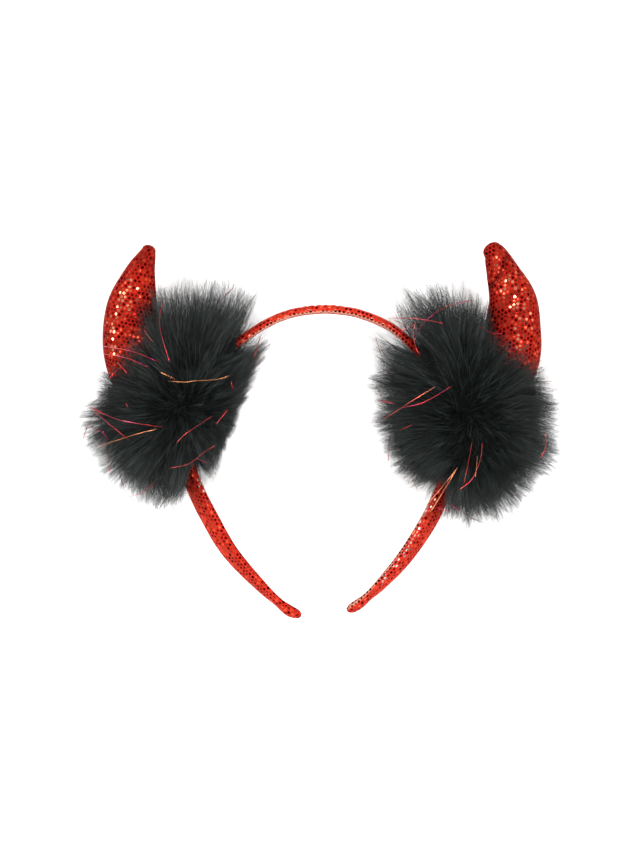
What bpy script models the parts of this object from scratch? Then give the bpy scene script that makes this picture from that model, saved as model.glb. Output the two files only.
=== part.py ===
"""Devil horns headband: a fabric-covered U band, two stuffed horns and a fur puff at each shoulder.

Metres, +Z up. It lies on its back on z = 0 and rests on the fur, with the band in the air. +X runs
from the horn on the left to the horn on the right, and +Y from the open ends of the band to its crown.
The origin is on the surface, under the middle of the whole headband.
"""

import math
import random
from collections import namedtuple

import bmesh
import bpy
from mathutils import Vector

# Driving dimensions
PIECE_GAP = 0.0003
BAND_LEVEL = 0.031
CROWN_Y = 0.0513
CROWN_HALF_FLAT = 0.004
BAND_STEPS = 2
HORN_STEPS = 3
HORN_SIDES = 20
LENS_POWER = 1.35
TIP_ANGLES_DEG = (32, 58, 78)
TIP_LENGTH_SHARE = 0.72
CREASE_LIMIT_SHARE = 0.5
SHARP_ANGLE_DEG = 50
WELD_DISTANCE = 0.00001
FUR_RISE = 0.034
FUR_HEAD_SHARE = 0.68
FUR_ROUNDNESS = 2.4
HEAD_SIDES = 16
LOCK_COUNT = 48
LOCK_RADIUS = 0.0100
LOCK_TIP_RADIUS = 0.0004
LOCK_TAPER = 0.62
LOCK_POINTS = 4
LOCK_START = 0.42
LOCK_ROOT_SHARE = 0.9
LOCK_BOW_SHARE = 0.62
LOCK_FLOP_DEG = 22
LOCK_SWAY_DEG = 14
LOCK_LENGTH_RANGE = (0.95, 1.07)
PARTING_HALF_DEG = 12
PARTING_TOP_DEG = 58
GOLDEN_ANGLE = math.pi * (3 - math.sqrt(5))

# Band, from the left tip over the crown to the right tip: the tilt turns the outer face upwards
BandRow = namedtuple("BandRow", "x y width thickness tilt_deg")
BAND_ROWS = (
    BandRow(-0.0102, -0.0800, 0.0024, 0.0014, 8),
    BandRow(-0.0120, -0.0796, 0.0056, 0.0036, 10),
    BandRow(-0.0158, -0.0779, 0.0064, 0.0042, 14),
    BandRow(-0.0206, -0.0741, 0.0056, 0.0030, 22),
    BandRow(-0.0286, -0.0667, 0.0074, 0.0032, 30),
    BandRow(-0.0409, -0.0529, 0.0092, 0.0036, 38),
    BandRow(-0.0492, -0.0391, 0.0098, 0.0038, 40),
    BandRow(-0.0561, -0.0250, 0.0098, 0.0038, 36),
    BandRow(-0.0610, -0.0100, 0.0098, 0.0038, 28),
    BandRow(-0.0622, 0.0000, 0.0098, 0.0038, 22),
    BandRow(-0.0602, 0.0100, 0.0098, 0.0038, 18),
    BandRow(-0.0545, 0.0205, 0.0096, 0.0038, 12),
    BandRow(-0.0464, 0.0298, 0.0094, 0.0036, 8),
    BandRow(-0.0354, 0.0388, 0.0092, 0.0034, 4),
    BandRow(-0.0243, 0.0458, 0.0090, 0.0034, 2),
    BandRow(-0.0145, 0.0497, 0.0090, 0.0034, 0),
    BandRow(-CROWN_HALF_FLAT, CROWN_Y, 0.0090, 0.0034, 0),
    BandRow(CROWN_HALF_FLAT, CROWN_Y, 0.0090, 0.0034, 0),
    BandRow(0.0150, 0.0495, 0.0090, 0.0034, 0),
    BandRow(0.0280, 0.0440, 0.0090, 0.0034, 2),
    BandRow(0.0387, 0.0350, 0.0092, 0.0034, 6),
    BandRow(0.0464, 0.0262, 0.0094, 0.0036, 10),
    BandRow(0.0525, 0.0150, 0.0096, 0.0038, 14),
    BandRow(0.0556, 0.0030, 0.0098, 0.0038, 20),
    BandRow(0.0556, -0.0080, 0.0098, 0.0038, 26),
    BandRow(0.0535, -0.0190, 0.0098, 0.0038, 32),
    BandRow(0.0491, -0.0305, 0.0098, 0.0038, 38),
    BandRow(0.0429, -0.0426, 0.0096, 0.0038, 40),
    BandRow(0.0335, -0.0563, 0.0088, 0.0036, 36),
    BandRow(0.0242, -0.0667, 0.0070, 0.0032, 30),
    BandRow(0.0186, -0.0720, 0.0056, 0.0030, 22),
    BandRow(0.0148, -0.0751, 0.0062, 0.0040, 14),
    BandRow(0.0113, -0.0772, 0.0058, 0.0036, 10),
    BandRow(0.0094, -0.0780, 0.0022, 0.0014, 8),
)

# Half of the strip's section, as shares of half its width and half its thickness
SectionRow = namedtuple("SectionRow", "across through")
BAND_SECTION = (
    SectionRow(0.62, -1.00),
    SectionRow(0.90, -0.80),
    SectionRow(1.00, -0.10),
    SectionRow(0.92, 0.66),
    SectionRow(0.60, 0.98),
    SectionRow(0.00, 1.12),
)

# Horns, from the foot over the band to just short of the tip
HornRow = namedtuple("HornRow", "x y half_width half_thickness")
HORN_LEFT_ROWS = (
    HornRow(-0.0600, 0.0112, 0.0112, 0.0070),
    HornRow(-0.0712, 0.0160, 0.0129, 0.0078),
    HornRow(-0.0783, 0.0241, 0.0138, 0.0083),
    HornRow(-0.0821, 0.0340, 0.0133, 0.0083),
    HornRow(-0.0834, 0.0447, 0.0120, 0.0077),
    HornRow(-0.0824, 0.0555, 0.0104, 0.0068),
    HornRow(-0.0794, 0.0672, 0.0067, 0.0052),
    HornRow(-0.0768, 0.0739, 0.0042, 0.0037),
    HornRow(-0.0757, 0.0770, 0.0030, 0.0026),
)
HORN_RIGHT_ROWS = (
    HornRow(0.0548, 0.0095, 0.0110, 0.0070),
    HornRow(0.0655, 0.0140, 0.0130, 0.0078),
    HornRow(0.0742, 0.0219, 0.0140, 0.0083),
    HornRow(0.0791, 0.0331, 0.0138, 0.0084),
    HornRow(0.0808, 0.0447, 0.0120, 0.0078),
    HornRow(0.0806, 0.0555, 0.0104, 0.0070),
    HornRow(0.0769, 0.0662, 0.0076, 0.0057),
    HornRow(0.0737, 0.0741, 0.0054, 0.0043),
    HornRow(0.0718, 0.0770, 0.0042, 0.0034),
)

# Creases pressed into a horn, each a straight valley between two points of its face
CreaseRow = namedtuple("CreaseRow", "x_from y_from x_to y_to width depth")
HORN_LEFT_CREASES = (
    CreaseRow(-0.0780, 0.0560, -0.0750, 0.0508, 0.0016, 0.0006),
    CreaseRow(-0.0900, 0.0420, -0.0790, 0.0385, 0.0018, 0.0007),
    CreaseRow(-0.0830, 0.0480, -0.0745, 0.0450, 0.0016, 0.0006),
)
HORN_RIGHT_CREASES = (
    CreaseRow(0.0783, 0.0740, 0.0740, 0.0650, 0.0015, 0.0011),
    CreaseRow(0.0740, 0.0650, 0.0705, 0.0600, 0.0015, 0.0011),
    CreaseRow(0.0753, 0.0555, 0.0847, 0.0598, 0.0017, 0.0009),
    CreaseRow(0.0735, 0.0477, 0.0850, 0.0510, 0.0017, 0.0009),
    CreaseRow(0.0760, 0.0400, 0.0860, 0.0425, 0.0018, 0.0007),
)

# Fur: how far it reaches from the puff's middle, seen from above, anticlockwise from +X
ReachRow = namedtuple("ReachRow", "angle_deg reach")
FUR_LEFT_REACH = (
    ReachRow(0, 0.0245),
    ReachRow(20, 0.0315),
    ReachRow(40, 0.0450),
    ReachRow(57, 0.0520),
    ReachRow(80, 0.0500),
    ReachRow(102, 0.0485),
    ReachRow(125, 0.0380),
    ReachRow(150, 0.0350),
    ReachRow(175, 0.0400),
    ReachRow(195, 0.0465),
    ReachRow(215, 0.0460),
    ReachRow(235, 0.0465),
    ReachRow(262, 0.0465),
    ReachRow(285, 0.0360),
    ReachRow(310, 0.0250),
    ReachRow(335, 0.0235),
)
FUR_RIGHT_REACH = (
    ReachRow(0, 0.0400),
    ReachRow(30, 0.0385),
    ReachRow(55, 0.0370),
    ReachRow(75, 0.0420),
    ReachRow(95, 0.0525),
    ReachRow(118, 0.0555),
    ReachRow(132, 0.0515),
    ReachRow(152, 0.0430),
    ReachRow(180, 0.0380),
    ReachRow(210, 0.0375),
    ReachRow(240, 0.0395),
    ReachRow(268, 0.0490),
    ReachRow(290, 0.0470),
    ReachRow(315, 0.0430),
    ReachRow(335, 0.0450),
)

# Puffs: the middle, half of the wound core towards the crown, and where the band parts the fur above it
PuffRow = namedtuple("PuffRow", "x y core_x core_y reach partings_deg seed")
FUR_LEFT = PuffRow(-0.0602, 0.0103, 0.0036, 0.0120, FUR_LEFT_REACH, (51, 281), 11)
FUR_RIGHT = PuffRow(0.0602, 0.0060, -0.0050, 0.0200, FUR_RIGHT_REACH, (127, 248), 23)

# Finishes as seen: colour, roughness, metallic
Finish = namedtuple("Finish", "colour roughness metallic")
RED_FOIL = Finish((0.62, 0.015, 0.012, 1.0), 0.35, 0.35)
BLACK_FUR = Finish((0.010, 0.014, 0.014, 1.0), 0.75, 0.0)


def clear_scene():
    """Remove every object that the file starts with."""
    for thing in list(bpy.data.objects):
        bpy.data.objects.remove(thing, do_unlink=True)


def new_collection(name):
    """A collection in the scene."""
    collection = bpy.data.collections.new(name)
    bpy.context.scene.collection.children.link(collection)
    return collection


def material_for(name, finish):
    """A material with one plain finish."""
    material = bpy.data.materials.new(name)
    material.use_nodes = True
    shader = material.node_tree.nodes["Principled BSDF"]
    shader.inputs["Base Color"].default_value = finish.colour
    shader.inputs["Roughness"].default_value = finish.roughness
    shader.inputs["Metallic"].default_value = finish.metallic
    return material


def catmull_rom(before, start, end, after, t):
    """A value on the smooth curve that runs from start to end."""
    bend = 2 * before - 5 * start + 4 * end - after
    sway = 3 * (start - end) + after - before
    return 0.5 * (2 * start + (end - before) * t + bend * t * t + sway * t * t * t)


def smooth_rows(rows, steps):
    """Rows of the same kind, with a smooth curve through each column of the table."""
    kind = type(rows[0])
    smooth = []
    for i in range(len(rows) - 1):
        four = (rows[max(i - 1, 0)], rows[i], rows[i + 1], rows[min(i + 2, len(rows) - 1)])
        flat = rows[i].y == rows[i + 1].y
        for step in range(1 if flat else steps):
            smooth.append(kind(*(catmull_rom(*column, step / steps) for column in zip(*four))))
    smooth.append(rows[-1])
    return smooth


def headings(points):
    """The direction of travel at each point, level where two neighbours are level."""
    found = []
    last = len(points) - 1
    for i in range(len(points)):
        along = points[min(i + 1, last)] - points[max(i - 1, 0)]
        for j in (i - 1, i):
            if 0 <= j < last and points[j].y == points[j + 1].y:
                along = points[j + 1] - points[j]
        found.append(along.normalized())
    return found


def loft(name, rings):
    """A closed mesh through rings of the same number of points, with flat ends."""
    shape = bmesh.new()
    loops = [[shape.verts.new(point) for point in ring] for ring in rings]
    count = len(rings[0])
    for near, far in zip(loops, loops[1:]):
        for k in range(count):
            following = (k + 1) % count
            shape.faces.new((near[k], near[following], far[following], far[k]))
    shape.faces.new(reversed(loops[0]))
    shape.faces.new(loops[-1])
    bmesh.ops.recalc_face_normals(shape, faces=shape.faces)
    mesh = bpy.data.meshes.new(name)
    shape.to_mesh(mesh)
    shape.free()
    return mesh


def band_rings(grow=0.0):
    """Sections of the band; grow makes the strip that much larger all round, for a cutter."""
    rows = smooth_rows(BAND_ROWS, BAND_STEPS)
    points = [Vector((row.x, row.y, BAND_LEVEL)) for row in rows]
    mirrored = [SectionRow(-row.across, row.through) for row in reversed(BAND_SECTION[:-1])]
    section = (*BAND_SECTION, *mirrored)
    rings = []
    for row, point, along in zip(rows, points, headings(points)):
        outward = Vector((-along.y, along.x, 0))
        tilt = math.radians(row.tilt_deg)
        up = Vector((0, 0, 1))
        face = outward * math.cos(tilt) + up * math.sin(tilt)
        edge = up * math.cos(tilt) - outward * math.sin(tilt)
        half_width = row.width / 2 + grow
        half_thickness = row.thickness / 2 + grow
        rings.append(
            [point + edge * share.across * half_width + face * share.through * half_thickness
             for share in section]
        )
    return rings


def crease_depth(x, y, creases):
    """How far the creases press a horn's face in at one place."""
    depth = 0.0
    for crease in creases:
        start = Vector((crease.x_from, crease.y_from))
        run = Vector((crease.x_to, crease.y_to)) - start
        place = Vector((x, y)) - start
        share = min(max(place.dot(run) / run.length_squared, 0.0), 1.0)
        away = (place - run * share).length
        depth += crease.depth * math.exp(-((away / crease.width) ** 2))
    return depth


def horn_rings(rows, creases, grow=0.0):
    """Lens-shaped sections along a horn's spine, closing in a round tip."""
    smooth = smooth_rows(rows, HORN_STEPS)
    points = [Vector((row.x, row.y, BAND_LEVEL)) for row in smooth]
    ways = headings(points)
    sizes = [(row.half_width, row.half_thickness) for row in smooth]
    tip_point, tip_way, tip_size = points[-1], ways[-1], sizes[-1]
    tip_length = TIP_LENGTH_SHARE * tip_size[0]
    for angle_deg in TIP_ANGLES_DEG:
        angle = math.radians(angle_deg)
        points.append(tip_point + tip_way * tip_length * math.sin(angle))
        ways.append(tip_way)
        sizes.append((tip_size[0] * math.cos(angle), tip_size[1] * math.cos(angle)))
    rings = []
    for point, along, (half_width, half_thickness) in zip(points, ways, sizes):
        side = Vector((-along.y, along.x, 0))
        ring = []
        for k in range(HORN_SIDES):
            turn = 2 * math.pi * k / HORN_SIDES
            lens = math.copysign(abs(math.sin(turn)) ** LENS_POWER, math.sin(turn))
            at = point + side * math.cos(turn) * (half_width + grow)
            pressed = crease_depth(at.x, at.y, creases) * abs(lens) if grow == 0 else 0.0
            pressed = min(pressed, half_thickness * abs(lens) * CREASE_LIMIT_SHARE)
            height = (half_thickness + grow) * abs(lens) - pressed
            at.z += math.copysign(height, lens)
            ring.append(at)
        rings.append(ring)
    return rings


def reach_at(rows, angle_deg):
    """The fur's reach in one direction, on a smooth closed curve through the table."""
    count = len(rows)
    angle = angle_deg % 360
    for i in range(count):
        start = rows[i].angle_deg
        end = rows[(i + 1) % count].angle_deg + (360 if i == count - 1 else 0)
        if start <= angle < end:
            four = [rows[(i + k) % count].reach for k in (-1, 0, 1, 2)]
            return catmull_rom(*four, (angle - start) / (end - start))
    return rows[0].reach


def fur_radius(puff, way):
    """From the puff's middle to the fur's surface, which is flat where it rests."""
    flat = math.hypot(way.x, way.y)
    wide = reach_at(puff.reach, math.degrees(math.atan2(way.y, way.x)))
    total = (flat / wide) ** FUR_ROUNDNESS + (abs(way.z) / FUR_RISE) ** FUR_ROUNDNESS
    radius = total ** (-1 / FUR_ROUNDNESS)
    if way.z < 0:
        radius = min(radius, BAND_LEVEL / -way.z)
    return radius


def fur_head(name, puff):
    """The dense middle of a puff: a sphere drawn out to a share of the fur's reach."""
    shape = bmesh.new()
    bmesh.ops.create_uvsphere(shape, u_segments=HEAD_SIDES, v_segments=HEAD_SIDES // 2 + 1, radius=1.0)
    middle = Vector((puff.x, puff.y, BAND_LEVEL))
    for vert in shape.verts:
        way = vert.co.normalized()
        vert.co = middle + way * fur_radius(puff, way) * FUR_HEAD_SHARE
    bmesh.ops.triangulate(shape, faces=shape.faces)
    mesh = bpy.data.meshes.new(name)
    shape.to_mesh(mesh)
    shape.free()
    return mesh


def direction(turn, rise):
    """The unit direction with one bearing in plan and one angle above the level, in radians."""
    return Vector((math.cos(rise) * math.cos(turn), math.cos(rise) * math.sin(turn), math.sin(rise)))


def is_parted(puff, turn, rise):
    """Whether the band runs out of the puff there and keeps the fur above it apart."""
    if not 0 < math.degrees(rise) < PARTING_TOP_DEG:
        return False
    bearings = [(math.degrees(turn) - parting + 180) % 360 - 180 for parting in puff.partings_deg]
    return min(abs(bearing) for bearing in bearings) < PARTING_HALF_DEG


def lock_path(puff, turn, rise, chance):
    """Points and radii of one lock: it leaves the wound core, and flops over towards the band's level."""
    middle = Vector((puff.x, puff.y, BAND_LEVEL))
    core = Vector((puff.core_x, puff.core_y, 0))
    way = direction(turn, rise)
    flop = math.radians(LOCK_FLOP_DEG) * math.sin(rise)
    sway = math.radians(LOCK_SWAY_DEG) * chance.uniform(-1, 1)
    end_way = direction(turn + sway, rise - flop)
    root = middle + core * way.dot(core.normalized()) * LOCK_ROOT_SHARE
    bow = root.lerp(middle + way * fur_radius(puff, way), LOCK_BOW_SHARE)
    tip = middle + end_way * fur_radius(puff, end_way) * chance.uniform(*LOCK_LENGTH_RANGE)
    path = []
    for k in range(LOCK_POINTS):
        t = LOCK_START + (1 - LOCK_START) * k / (LOCK_POINTS - 1)
        at = root * (1 - t) ** 2 + bow * 2 * t * (1 - t) + tip * t * t
        radius = LOCK_RADIUS * ((1 - t) / (1 - LOCK_START)) ** LOCK_TAPER
        radius = max(radius, LOCK_TIP_RADIUS)
        at.z = max(at.z, radius)
        path.append((at, radius))
    return path


def fur_locks(name, puff):
    """All the locks of a puff as one mesh of closed tapered tubes, spread evenly over every direction."""
    chance = random.Random(puff.seed)
    curve = bpy.data.curves.new(name, "CURVE")
    curve.dimensions = "3D"
    curve.bevel_depth = 1.0
    curve.bevel_resolution = 0
    curve.use_fill_caps = True
    for k in range(LOCK_COUNT):
        rise = math.asin(1 - 2 * (k + 0.5) / LOCK_COUNT)
        turn = GOLDEN_ANGLE * k
        if is_parted(puff, turn, rise):
            continue
        spline = curve.splines.new("POLY")
        spline.points.add(LOCK_POINTS - 1)
        for point, (at, radius) in zip(spline.points, lock_path(puff, turn, rise, chance)):
            point.co = (*at, 1)
            point.radius = radius
    return mesh_from_curve(name, curve)


def mesh_from_curve(name, curve):
    """A plain mesh of a bevelled curve, with its caps welded on."""
    holder = bpy.data.objects.new(name + "_curve", curve)
    bpy.context.scene.collection.objects.link(holder)
    bpy.context.view_layer.update()
    ready = holder.evaluated_get(bpy.context.evaluated_depsgraph_get())
    mesh = bpy.data.meshes.new_from_object(ready)
    mesh.name = name
    bpy.data.objects.remove(holder, do_unlink=True)
    shape = bmesh.new()
    shape.from_mesh(mesh)
    bmesh.ops.remove_doubles(shape, verts=shape.verts, dist=WELD_DISTANCE)
    bmesh.ops.recalc_face_normals(shape, faces=shape.faces)
    bmesh.ops.triangulate(shape, faces=shape.faces)
    shape.to_mesh(mesh)
    shape.free()
    return mesh


def add_piece(collection, name, mesh, material):
    """A piece of the headband, named for what it is and shaded smooth where it is round."""
    piece = bpy.data.objects.new(name, mesh)
    mesh.materials.append(material)
    mesh.shade_smooth()
    mesh.set_sharp_from_angle(angle=math.radians(SHARP_ANGLE_DEG))
    collection.objects.link(piece)
    return piece


def add_cutter(collection, name, mesh):
    """A shape that cuts or joins another and isn't part of the headband."""
    cutter = bpy.data.objects.new(name, mesh)
    cutter.hide_render = True
    cutter.display_type = "WIRE"
    collection.objects.link(cutter)
    return cutter


def combine(piece, name, operation, other, overlaps_itself=False):
    """Join the other shape to the piece, or cut it away."""
    change = piece.modifiers.new(name, "BOOLEAN")
    change.operation = operation
    change.object = other
    change.solver = "EXACT"
    change.use_self = overlaps_itself


def keep_largest(piece):
    """Apply the modifiers and drop any scrap of a lock that a cutter has set free."""
    bpy.context.view_layer.update()
    ready = piece.evaluated_get(bpy.context.evaluated_depsgraph_get())
    shape = bmesh.new()
    shape.from_mesh(ready.data)
    piece.modifiers.clear()
    unseen = set(shape.verts)
    islands = []
    while unseen:
        stack = [unseen.pop()]
        island = set(stack)
        while stack:
            for edge in stack.pop().link_edges:
                for vert in edge.verts:
                    if vert in unseen:
                        unseen.discard(vert)
                        island.add(vert)
                        stack.append(vert)
        islands.append(island)
    islands.sort(key=len)
    scraps = [vert for island in islands[:-1] for vert in island]
    bmesh.ops.delete(shape, geom=scraps, context="VERTS")
    shape.to_mesh(piece.data)
    shape.free()


def build():
    """Make the band, then each side's horn and the fur puff round its foot."""
    clear_scene()
    parts = new_collection("devil_horns_headband")
    cutters = new_collection("cutters")
    red = material_for("red_foil_fabric", RED_FOIL)
    black = material_for("black_fur", BLACK_FUR)

    add_piece(parts, "headband", loft("headband", band_rings()), red)
    band_room = add_cutter(cutters, "band_room", loft("band_room", band_rings(PIECE_GAP)))

    sides = (
        ("left", HORN_LEFT_ROWS, HORN_LEFT_CREASES, FUR_LEFT),
        ("right", HORN_RIGHT_ROWS, HORN_RIGHT_CREASES, FUR_RIGHT),
    )
    for side, rows, creases, puff in sides:
        horn = add_piece(parts, f"horn_{side}", loft(f"horn_{side}", horn_rings(rows, creases)), red.copy())
        combine(horn, "saddle", "DIFFERENCE", band_room)
        room_mesh = loft(f"horn_room_{side}", horn_rings(rows, creases, PIECE_GAP))
        horn_room = add_cutter(cutters, f"horn_room_{side}", room_mesh)
        locks = add_cutter(cutters, f"fur_locks_{side}", fur_locks(f"fur_locks_{side}", puff))
        head = fur_head(f"fur_puff_{side}", puff)
        fur = add_piece(parts, f"fur_puff_{side}", head, black.copy())
        combine(fur, "locks", "UNION", locks, overlaps_itself=True)
        combine(fur, "band_way", "DIFFERENCE", band_room)
        combine(fur, "horn_way", "DIFFERENCE", horn_room)
        keep_largest(fur)


build()
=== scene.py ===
"""Looks of the devil horns headband, dressed round its solid frame.

A U-shaped band and two stuffed horns in red foil-dot cloth, a black fur puff at each shoulder, and thin
metallic strands that run through the fur. Metres, +Z up: the headband lies on its back on z = 0, and +Y
runs from the open ends of the band to its crown.
"""

from __future__ import annotations

import logging
import math
import random
from dataclasses import dataclass, replace
from enum import Enum
from functools import cache
from typing import Any, NamedTuple, Sequence

import bmesh
import bpy
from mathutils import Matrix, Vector, noise

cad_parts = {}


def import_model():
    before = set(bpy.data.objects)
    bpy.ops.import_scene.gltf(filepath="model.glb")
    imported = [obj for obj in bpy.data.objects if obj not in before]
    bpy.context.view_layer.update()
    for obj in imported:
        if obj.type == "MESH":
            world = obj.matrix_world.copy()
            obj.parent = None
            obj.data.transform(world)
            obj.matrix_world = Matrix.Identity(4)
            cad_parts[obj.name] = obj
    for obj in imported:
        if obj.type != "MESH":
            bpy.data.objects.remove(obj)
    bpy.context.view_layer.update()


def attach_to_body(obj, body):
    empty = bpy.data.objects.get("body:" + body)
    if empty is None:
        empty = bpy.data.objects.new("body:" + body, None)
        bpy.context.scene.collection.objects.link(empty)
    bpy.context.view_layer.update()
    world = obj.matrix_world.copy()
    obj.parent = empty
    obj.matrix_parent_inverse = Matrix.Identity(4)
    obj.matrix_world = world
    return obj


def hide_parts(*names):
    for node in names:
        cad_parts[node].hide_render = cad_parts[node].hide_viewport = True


LOG = logging.getLogger("headband")
BODY = "root"
CLOTH_SLOT = "red_foil_fabric"
FUR_SLOT = "black_fur"
TINSEL_SLOT = "red_tinsel"
UV_NAME = "UVMap"
UP = Vector((0.0, 0.0, 1.0))

# The frame of the model: the band's level, the gap between pieces, and the photograph's scale
BAND_LEVEL = 0.031
PIECE_GAP = 0.0003
CROWN_Y = 0.0513
CROWN_HALF_FLAT = 0.004
METRES_PER_PIXEL = 0.00043
PHOTO_ORIGIN_X = 325.0
PHOTO_ORIGIN_Y = 429.0
PHOTO_WIDTH = 640
PHOTO_HEIGHT = 853

# Over the band's level: where the shade along a horn's edge starts, and where it is full
RIM_SHADE_START = 0.0045
RIM_SHADE_FULL = 0.0003


class Side(Enum):
    """Which shoulder a horn or a puff is on, as seen from above."""

    LEFT = "left"
    RIGHT = "right"


class Coat(Enum):
    """The coats of a puff: dense fur on its upper and lower half, and long thin guard hairs all over."""

    UPPER = 1
    LOWER = -1
    GUARD = 0


class BandRow(NamedTuple):
    """One section of the band: its place, its size and how far its outer face is turned upwards."""

    x: float
    y: float
    width: float
    thickness: float
    tilt_deg: float


class ShareRow(NamedTuple):
    """A point of the strip's section, as shares of half its width and half its thickness."""

    across: float
    through: float


class HornRow(NamedTuple):
    """One section of a horn, from its foot over the band to just short of its tip."""

    x: float
    y: float
    half_width: float
    half_thickness: float


class CreaseRow(NamedTuple):
    """A straight valley pressed into a horn's face between two points."""

    x_from: float
    y_from: float
    x_to: float
    y_to: float
    width: float
    depth: float


class GleamRow(NamedTuple):
    """A soft-edged streak between two points in plan, where the cloth is lighter or darker, and how much."""

    x_from: float
    y_from: float
    x_to: float
    y_to: float
    width: float
    strength: float


class ReachRow(NamedTuple):
    """How far the fur reaches from a puff's middle in one direction, seen from above."""

    angle_deg: float
    reach: float


class PartingRow(NamedTuple):
    """Where the band runs out of a puff: its bearing, how far out the fur covers it, and its half angle."""

    angle_deg: float
    cover: float
    half_deg: float


class TinselRow(NamedTuple):
    """A metallic strand as charted: points in the photograph's frame, and how brightly it glints."""

    glint: float
    points: tuple[tuple[float, float], ...]


class Spot(NamedTuple):
    """A point of a path."""

    x: float
    y: float
    z: float


class HornShape(NamedTuple):
    """What tells one horn from the other: its sections, creases and streaks, and the turn of its dots."""

    rows: tuple[HornRow, ...]
    creases: tuple[CreaseRow, ...]
    gleams: tuple[GleamRow, ...]
    dims: tuple[GleamRow, ...]
    dots_turn_deg: float


class PuffShape(NamedTuple):
    """What tells one puff from the other.

    The middle is in plan. The core is half of the wound core that the strands leave: across, towards the
    crown and up. The two seeds are those of the fur and of the strands that aren't charted.
    """

    middle: tuple[float, float]
    core: tuple[float, float, float]
    reach: tuple[ReachRow, ...]
    partings: tuple[PartingRow, PartingRow]
    tinsel: tuple[TinselRow, ...]
    fur_seed: int
    tinsel_seed: int


class CoatRow(NamedTuple):
    """One coat: its strands and their width, how far they outgrow the reach, how much they gather in tufts,
    and the random number past which a strand is painted pale, as a highlight streak."""

    strands: int
    width: float
    overgrow: float
    gather: float
    pale_from: float


class LightRow(NamedTuple):
    """A square soft light: its name, where it hangs, the length of its side and its power in watts."""

    name: str
    at: tuple[float, float, float]
    size: float
    power: float


BAND_ROWS = (
    BandRow(-0.0102, -0.0800, 0.0024, 0.0014, 8),
    BandRow(-0.0120, -0.0796, 0.0056, 0.0036, 10),
    BandRow(-0.0158, -0.0779, 0.0064, 0.0042, 14),
    BandRow(-0.0206, -0.0741, 0.0056, 0.0030, 22),
    BandRow(-0.0286, -0.0667, 0.0074, 0.0032, 30),
    BandRow(-0.0409, -0.0529, 0.0092, 0.0036, 38),
    BandRow(-0.0492, -0.0391, 0.0098, 0.0038, 40),
    BandRow(-0.0561, -0.0250, 0.0098, 0.0038, 36),
    BandRow(-0.0610, -0.0100, 0.0098, 0.0038, 28),
    BandRow(-0.0622, 0.0000, 0.0098, 0.0038, 22),
    BandRow(-0.0602, 0.0100, 0.0098, 0.0038, 18),
    BandRow(-0.0545, 0.0205, 0.0096, 0.0038, 12),
    BandRow(-0.0464, 0.0298, 0.0094, 0.0036, 8),
    BandRow(-0.0354, 0.0388, 0.0092, 0.0034, 4),
    BandRow(-0.0243, 0.0458, 0.0090, 0.0034, 2),
    BandRow(-0.0145, 0.0497, 0.0090, 0.0034, 0),
    BandRow(-CROWN_HALF_FLAT, CROWN_Y, 0.0090, 0.0034, 0),
    BandRow(CROWN_HALF_FLAT, CROWN_Y, 0.0090, 0.0034, 0),
    BandRow(0.0150, 0.0495, 0.0090, 0.0034, 0),
    BandRow(0.0280, 0.0440, 0.0090, 0.0034, 2),
    BandRow(0.0387, 0.0350, 0.0092, 0.0034, 6),
    BandRow(0.0464, 0.0262, 0.0094, 0.0036, 10),
    BandRow(0.0525, 0.0150, 0.0096, 0.0038, 14),
    BandRow(0.0556, 0.0030, 0.0098, 0.0038, 20),
    BandRow(0.0556, -0.0080, 0.0098, 0.0038, 26),
    BandRow(0.0535, -0.0190, 0.0098, 0.0038, 32),
    BandRow(0.0491, -0.0305, 0.0098, 0.0038, 38),
    BandRow(0.0429, -0.0426, 0.0096, 0.0038, 40),
    BandRow(0.0335, -0.0563, 0.0088, 0.0036, 36),
    BandRow(0.0242, -0.0667, 0.0070, 0.0032, 30),
    BandRow(0.0186, -0.0720, 0.0056, 0.0030, 22),
    BandRow(0.0148, -0.0751, 0.0062, 0.0040, 14),
    BandRow(0.0113, -0.0772, 0.0058, 0.0036, 10),
    BandRow(0.0094, -0.0780, 0.0022, 0.0014, 8),
)

# Where the cloth gleams: its folds turn the foil dots to the light there
GLEAMS_LEFT = (
    GleamRow(-0.0834, 0.0628, -0.0912, 0.0460, 0.0028, 0.60),
    GleamRow(-0.0912, 0.0460, -0.0908, 0.0345, 0.0032, 0.48),
    GleamRow(-0.0800, 0.0640, -0.0840, 0.0500, 0.0045, 0.30),
)
GLEAMS_RIGHT = (
    GleamRow(0.0790, 0.0640, 0.0850, 0.0480, 0.0050, 0.50),
    GleamRow(0.0850, 0.0480, 0.0840, 0.0330, 0.0050, 0.42),
    GleamRow(0.0725, 0.0740, 0.0735, 0.0700, 0.0025, 0.35),
    GleamRow(0.0770, 0.0560, 0.0850, 0.0590, 0.0016, 0.35),
)
BAND_GLEAMS = (
    GleamRow(-0.0360, -0.0480, -0.0550, -0.0200, 0.0020, 0.72),
    GleamRow(-0.0260, -0.0610, -0.0360, -0.0480, 0.0016, 0.60),
    GleamRow(0.0350, -0.0530, 0.0480, -0.0260, 0.0015, 0.42),
    GleamRow(0.0240, -0.0660, 0.0350, -0.0530, 0.0013, 0.38),
)

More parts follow.
